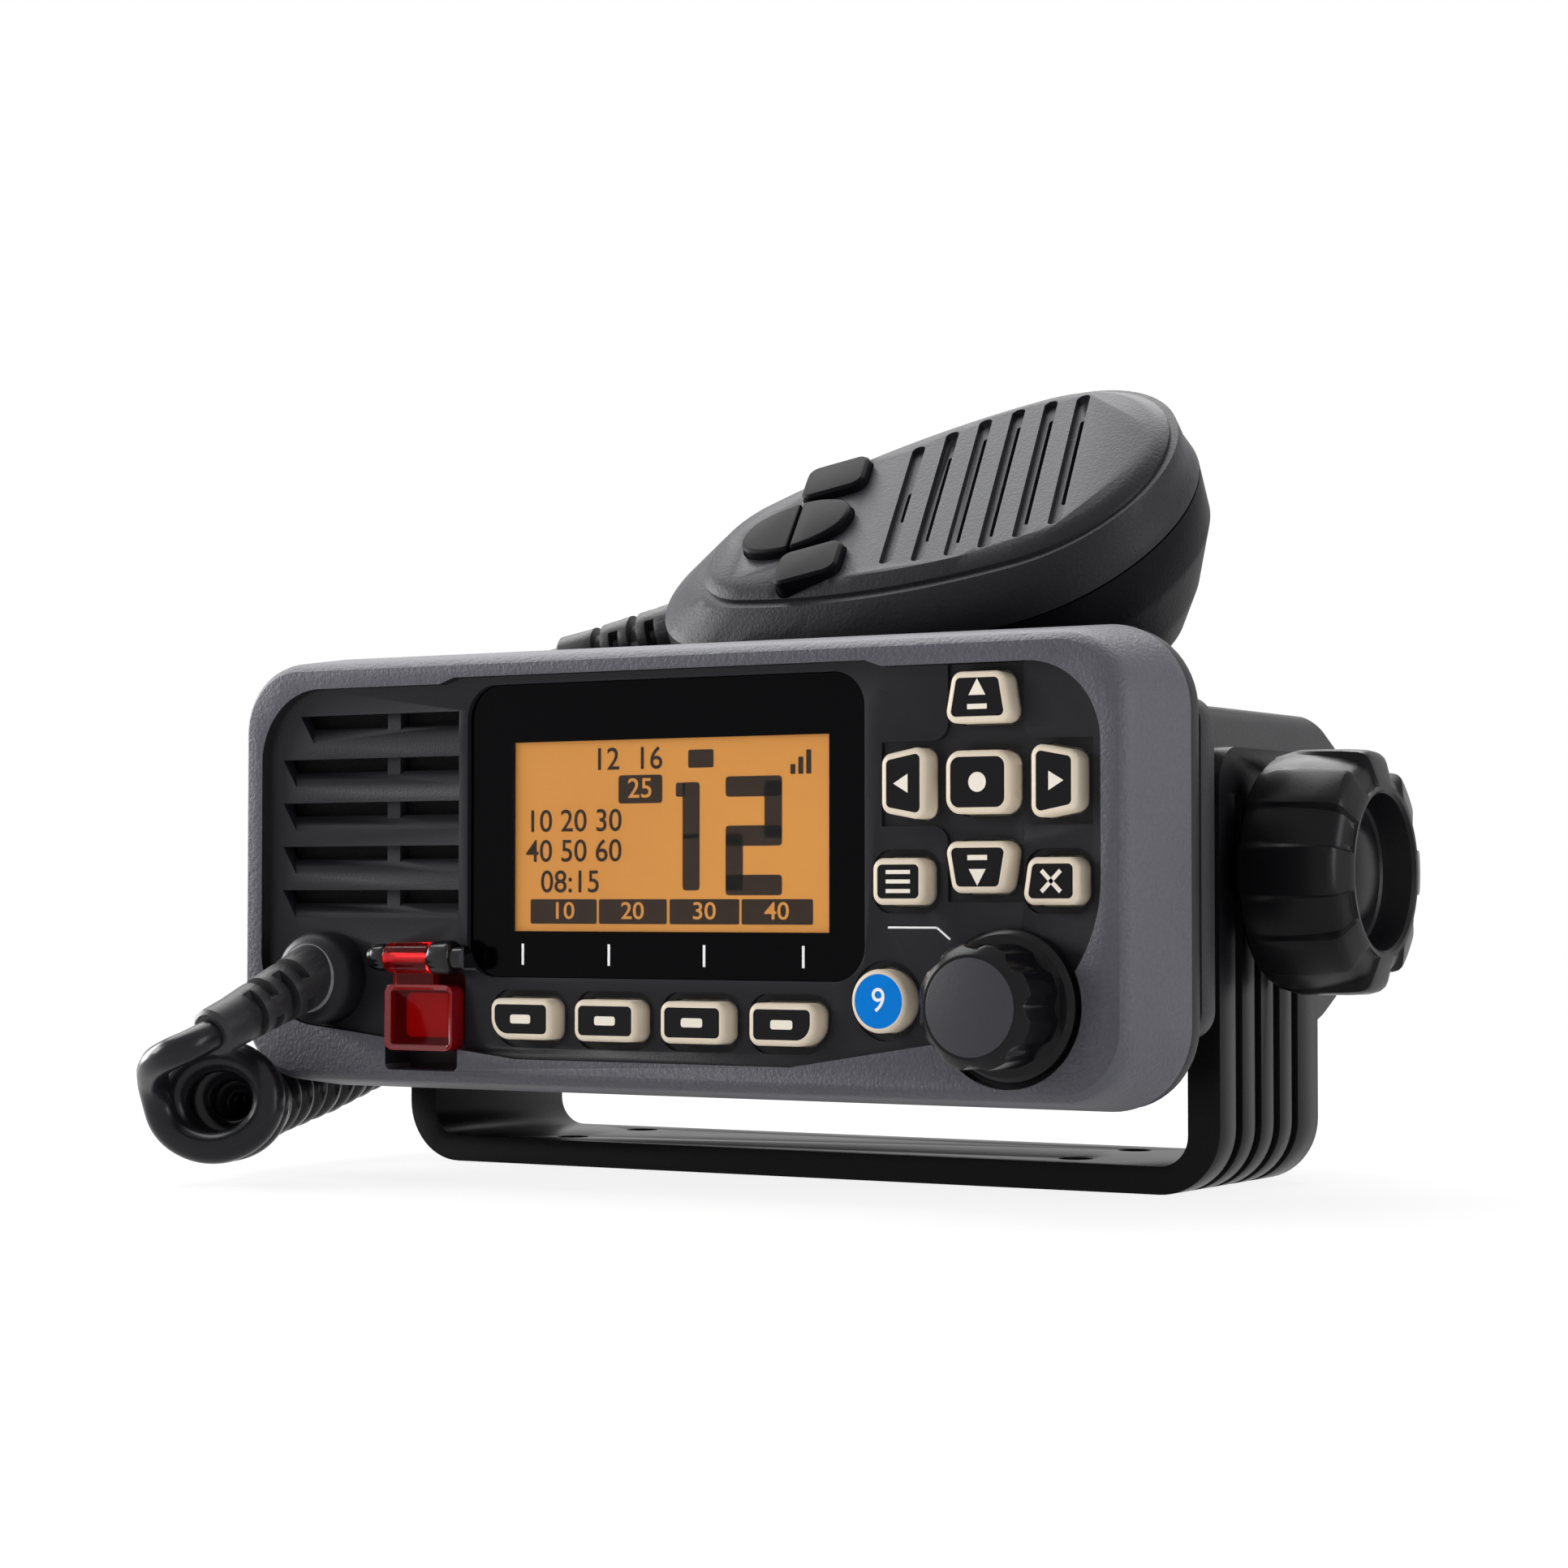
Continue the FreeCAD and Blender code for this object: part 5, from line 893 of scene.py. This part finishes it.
def makeKeyMarks(values):
    at = values["front"] - values["markRaised"]
    thick = values["markThick"]

    def finishMark(node, bm):
        finishPiece(node.replace("_", "") + "Mark", bm, ("legend",), node)

    for index, x in enumerate(values["softkeyX"], 1):
        bm = bmesh.new()
        roundedPlate(
            bm, x, values["softkeyUp"], *values["softkeyMark"], at, thick, values["softkeyCorner"], 2
        )
        finishPiece("softkeyMark%d" % index, bm, ("legend",), "softkey_%d" % index)
    x = values["padX"]
    up = values["padUp"]
    reach = values["padReach"]
    arrows = {
        "key_up": (0, reach, 0), "key_left": (-reach, 0, -90), "key_down": (0, -reach, 180),
        "key_right": (reach, 0, 90),
    }
    for node, (right, rise, turn) in arrows.items():
        bm = bmesh.new()
        shift = 0.0 if right else math.copysign(values["arrowShift"], rise)
        triangle(bm, x + right, up + rise + shift, values["arrow"], at, turn)
        if shift:
            lower = up + rise - shift * values["arrowBarLower"]
            roundedPlate(bm, x, lower, *values["arrowBar"], at, thick, 0.0)
        finishMark(node, bm)
    bm = bmesh.new()
    bmesh.ops.create_circle(
        bm, cap_ends=True, segments=24, radius=values["dot"] * mm,
        matrix=Matrix.Translation(fromPanel(x, at, up)) @ Matrix.Rotation(math.pi / 2, 4, "X"),
    )
    finishMark("key_enter", bm)
    bm = bmesh.new()
    x, up = values["menuAt"]
    for step in (-1, 0, 1):
        roundedPlate(bm, x, up + step * values["menuStep"], *values["menuBar"], at, thick, 0.0)
    finishMark("key_menu", bm)
    bm = bmesh.new()
    x, up = values["clearAt"]
    for turn in (45, -45):
        turned(
            bm, lambda: roundedPlate(bm, x, up, *values["clearBar"], at, thick, 0.0),
            fromPanel(x, at, up), turn,
        )
    finishMark("key_clear", bm)
    bm = bmesh.new()
    writing(bm, "9", *values["callAt"], values["callHeight"], at)
    finishPiece("keycallMark", bm, ("print",), "key_call")


# the rotary control, with a bent line printed beside it

dialValues = {
    "edge": 0.25,
    "capEdge": 0.2,
    "printDeep": 1.97,
    "level": (41.9, -8.2, 7.6, 0.28),  # place and size of the line's two parts
    "slope": (46.8, -9.0, 2.6, 0.28),
    "slopeTurn": 38,
}


def makeDial(values):
    reshade("dialKnob", "volume_knob", ("dial",), values["edge"])
    reshade("dialCap", "volume_knob_cap", ("dialCap",), values["capEdge"])
    bm = bmesh.new()
    deep = values["printDeep"]
    x, up = values["slope"][:2]
    roundedPlate(bm, *values["level"], deep, plateThick, 0.0)
    turned(
        bm, lambda: roundedPlate(bm, *values["slope"], deep, plateThick, 0.0),
        fromPanel(x, deep, up), values["slopeTurn"],
    )
    finishPiece("dialPrint", bm, ("print",), "radio")


# the distress cover's hinge barrels and its lens, a red tray with a bright rim

coverValues = {
    "hinge": (-0.4, -13.0),  # behind the rim and above the panel's middle
    "ears": {"Left": (-49.2, -46.3, 2.05), "Right": (-38.1, -34.0, 2.65)},  # ends and radius
    "barrel": (-46.2, -38.2, 2.3),
    "rounding": 0.9,
    "barrelRounding": 0.3,
    "bends": 4,
    "steps": 40,
    "plate": (-40.9, -21.9, 12.5, 9.8),
    "plateDeep": -0.8,
    "plateThick": 3.2,
    "plateCorner": 1.3,
    "rim": 0.8,
    "rimDepth": 0.6,
    "neck": (-42.0, -16.2, 7.6, 3.2),
    "neckBehind": 0.3,
    "neckThick": 1.4,
    "neckCorner": 0.4,
    "edge": 0.18,
}


def barrelShape(bm, left, right, radius, values, rounding):
    deep, up = values["hinge"]
    centre = fromPanel(left, deep, up)
    bends = values["bends"]
    outline = [(left, 0)]
    for index in range(bends + 1):
        angle = math.pi / 2 * index / bends
        x = left + rounding * (1 - math.sin(angle))
        outline.append((x, radius - rounding * (1 - math.cos(angle))))
    outline[1:] = sorted(outline[1:], key=lambda point: point[1])
    outline += [(left + right - x, reach) for x, reach in reversed(outline)]
    line = [bm.verts.new(fromPanel(x, deep, up + reach)) for x, reach in outline]
    edges = [bm.edges.new(pair) for pair in zip(line, line[1:])]
    bmesh.ops.spin(
        bm, geom=line + edges, cent=centre, axis=(1, 0, 0), angle=2 * math.pi, steps=values["steps"],
        use_merge=True,
    )
    bmesh.ops.remove_doubles(bm, verts=bm.verts, dist=spinWithin * mm)
    bmesh.ops.recalc_face_normals(bm, faces=bm.faces)


def makeCover(values):
    for name, (left, right, radius) in values["ears"].items():
        bm = bmesh.new()
        barrelShape(bm, left, right, radius, values, values["rounding"])
        finishPiece("hingeEar" + name, bm, ("hinge",), "radio")
    bm = bmesh.new()
    barrelShape(bm, *values["barrel"], values, values["barrelRounding"])
    for face in bm.faces:
        face.material_index = 0
    neckDeep = values["plateDeep"] + values["neckBehind"]
    roundedPlate(bm, *values["neck"], neckDeep, values["neckThick"], values["neckCorner"])
    before = set(bm.faces)
    roundedPlate(
        bm, *values["plate"], values["plateDeep"], values["plateThick"], values["plateCorner"], 5
    )
    new = [face for face in bm.faces if face not in before]
    # the front face: far forward, and the largest there
    front = min(new, key=lambda face: face.calc_center_median().y * 1000 - face.calc_area() * 1e6)
    made = bmesh.ops.inset_region(
        bm, faces=[front], thickness=values["rim"] * mm, depth=-values["rimDepth"] * mm,
        use_even_offset=True,
    )
    for face in made["faces"]:
        face.material_index = 1
    for face in new:
        if face.is_valid and abs(face.normal.y) < 0.5:
            face.material_index = 1
    cover = finishPiece(
        "distressLens", bm, ("redGlass", "redRim"), "cover",
        ("distress_cover",), 30,
    )
    rounded = cover.modifiers.new("softEdges", "BEVEL")
    rounded.width = values["edge"] * mm
    rounded.segments = 2
    rounded.limit_method = "ANGLE"


# clamp knobs: lobed rims round a bowl with a domed middle

clampValues = {
    "profile": [
        (0.0, 4.5), (0.0, 16.4), (0.5, 17.0), (3.5, 17.75), (7.0, 17.75), (10.5, 17.7), (13.0, 17.55),
        (13.9, 17.3), (14.5, 16.8), (14.85, 16.1), (15.2, 15.0), (15.6, 13.6), (15.95, 12.4),
        (15.9, 11.8), (15.4, 11.3),
        (12.2, 10.6), (11.3, 10.3), (11.0, 9.8), (11.0, 8.4), (11.2, 8.0), (12.0, 7.0), (12.7, 5.4),
        (13.1, 3.6), (13.3, 1.8), (13.35, 0.0),
    ],
    "lobes": 8,
    "notch": 2.1,
    "notchAtBack": 0.12,  # how deep the notches are at the foot, as a share
    "notchFrom": 12.6,  # the notches leave the bowl's rim round
    "firstNotch": 22.5,
    "notchHalf": 0.52,  # shares of the way from a notch's middle to the next lobe's
    "notchFade": 0.12,
    "crown": 0.5,
    "rimFade": 2.0,
    "depth": 15,
    "steps": 192,
}


def makeClamp(name, side, values):
    low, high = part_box("clamp_knob_" + name)
    middle = (Vector(low) + Vector(high)) / 2
    base = low[0] if side > 0 else high[0]
    bm = bmesh.new()
    line = [
        bm.verts.new((base + side * out * mm, middle.y, middle.z + reach * mm))
        for out, reach in values["profile"]
    ]
    edges = [bm.edges.new(pair) for pair in zip(line, line[1:])]
    bmesh.ops.spin(
        bm, geom=line + edges, cent=middle, axis=(1, 0, 0), angle=2 * math.pi, steps=values["steps"],
        use_merge=True,
    )
    bmesh.ops.remove_doubles(bm, verts=bm.verts, dist=spinWithin * mm)
    for vertex in bm.verts:
        flat = Vector((0, vertex.co.y - middle.y, vertex.co.z - middle.z))
        reach = flat.length / mm
        if reach < values["notchFrom"]:
            continue
        turn = math.degrees(math.atan2(flat.y, flat.z)) - values["firstNotch"]
        away = abs((turn * values["lobes"] / 360 + 0.5) % 1 - 0.5) * 2
        share = min(max((values["notchHalf"] - away) / values["notchFade"], 0), 1)
        bite = values["notch"] * share * share * (3 - 2 * share) * (1 - away * away * values["crown"])
        bite *= min((reach - values["notchFrom"]) / values["rimFade"], 1)
        out = abs(vertex.co.x - base) / mm
        bite *= values["notchAtBack"] + (1 - values["notchAtBack"]) * (out / values["depth"]) ** 2
        vertex.co -= flat.normalized() * bite * mm
    bmesh.ops.recalc_face_normals(bm, faces=bm.faces)
    finishPiece(
        name + "ClampKnob", bm, ("clamp",), name + "_knob",
        ("clamp_knob_" + name,), 24,
    )


# what is left: each node that keeps its own shape, with its paint and the width of its softened edges

partLooks = {
    "mounting_bracket": (("bracket",), 0.35),
    "clamp_washer_left": (("bracket",), 0.15),
    "clamp_washer_right": (("bracket",), 0.15),
    "distress_key": (("redCap",), 0.2),
    "distress_hinge_pin": (("steel",), 0.0),
    "front_gasket": (("rubber",), 0.15),
    "chassis": (("body",), 0.2),
    "mic_front_shell": (("mic",), 0.15),
    # painted shade on the back shell
    "mic_back_shell": (("micBack",), 0.15),
    "mic_key_down": (("micKey",), 0.2),
    "mic_key_up": (("micKey",), 0.2),
    "mic_key_high_low": (("micKey",), 0.2),
    "mic_key_sixteen": (("micKey",), 0.2),
    "mic_talk_bar": (("rubber",), 0.3),
    # the strain reliefs take the lighter rubber, painted for the light they catch
    "mic_relief": (("relief",), 0.15),
    "front_relief": (("relief",), 0.15),
    "mic_hanger_button": (("nickel",), 0.15),
    "antenna_socket": (("nickel",), 0.15),
    "lead_grommet": (("rubber",), 0.15),
}

innerLooks = {
    "lcd_module": "lcd", "keypad_mat": "rubber", "front_board": "board", "encoder": "pressed",
    "encoder_shaft": "steel", "speaker_membrane": "weave", "loudspeaker": "weave",
    "main_board": "board", "power_module": "pressed", "front_screws": "steel",
    "clamp_inserts": "brass", "clamp_pads": "rubber", "clamp_stud_left": "steel",
    "clamp_stud_right": "steel", "mic_board": "board", "mic_capsule": "weave",
}


glandValues = {"edge": 0.15, "facing": -0.98, "before": -1.5}


def makeParts():
    for node, (paintNames, edge) in partLooks.items():
        words = node.split("_")
        name = words[0] + "".join(word.capitalize() for word in words[1:])
        reshade(name, node, paintNames, edge)

    def ringOrDome(face):
        spot = face.calc_center_median() / mm - panelCentre
        return 1 if face.normal.y < glandValues["facing"] and spot.y < glandValues["before"] else 0

    reshade("micGland", "mic_gland", ("gland", "glandRing"), glandValues["edge"], choose=ringOrDome)
    for node, paintName in innerLooks.items():
        nodes[node].data.materials.clear()
        nodes[node].data.materials.append(paints[paintName])


makeCord(cordValues)
print("cord made")
makeHousing(housingValues)
makeDisplay(displayValues)
makeKeyCaps(keyValues)
makeKeyMarks(keyValues)
makeDial(dialValues)
print("panel made")
makeCover(coverValues)
makeClamp("left", -1, clampValues)
makeClamp("right", 1, clampValues)
makeParts()
print("parts reshaded")
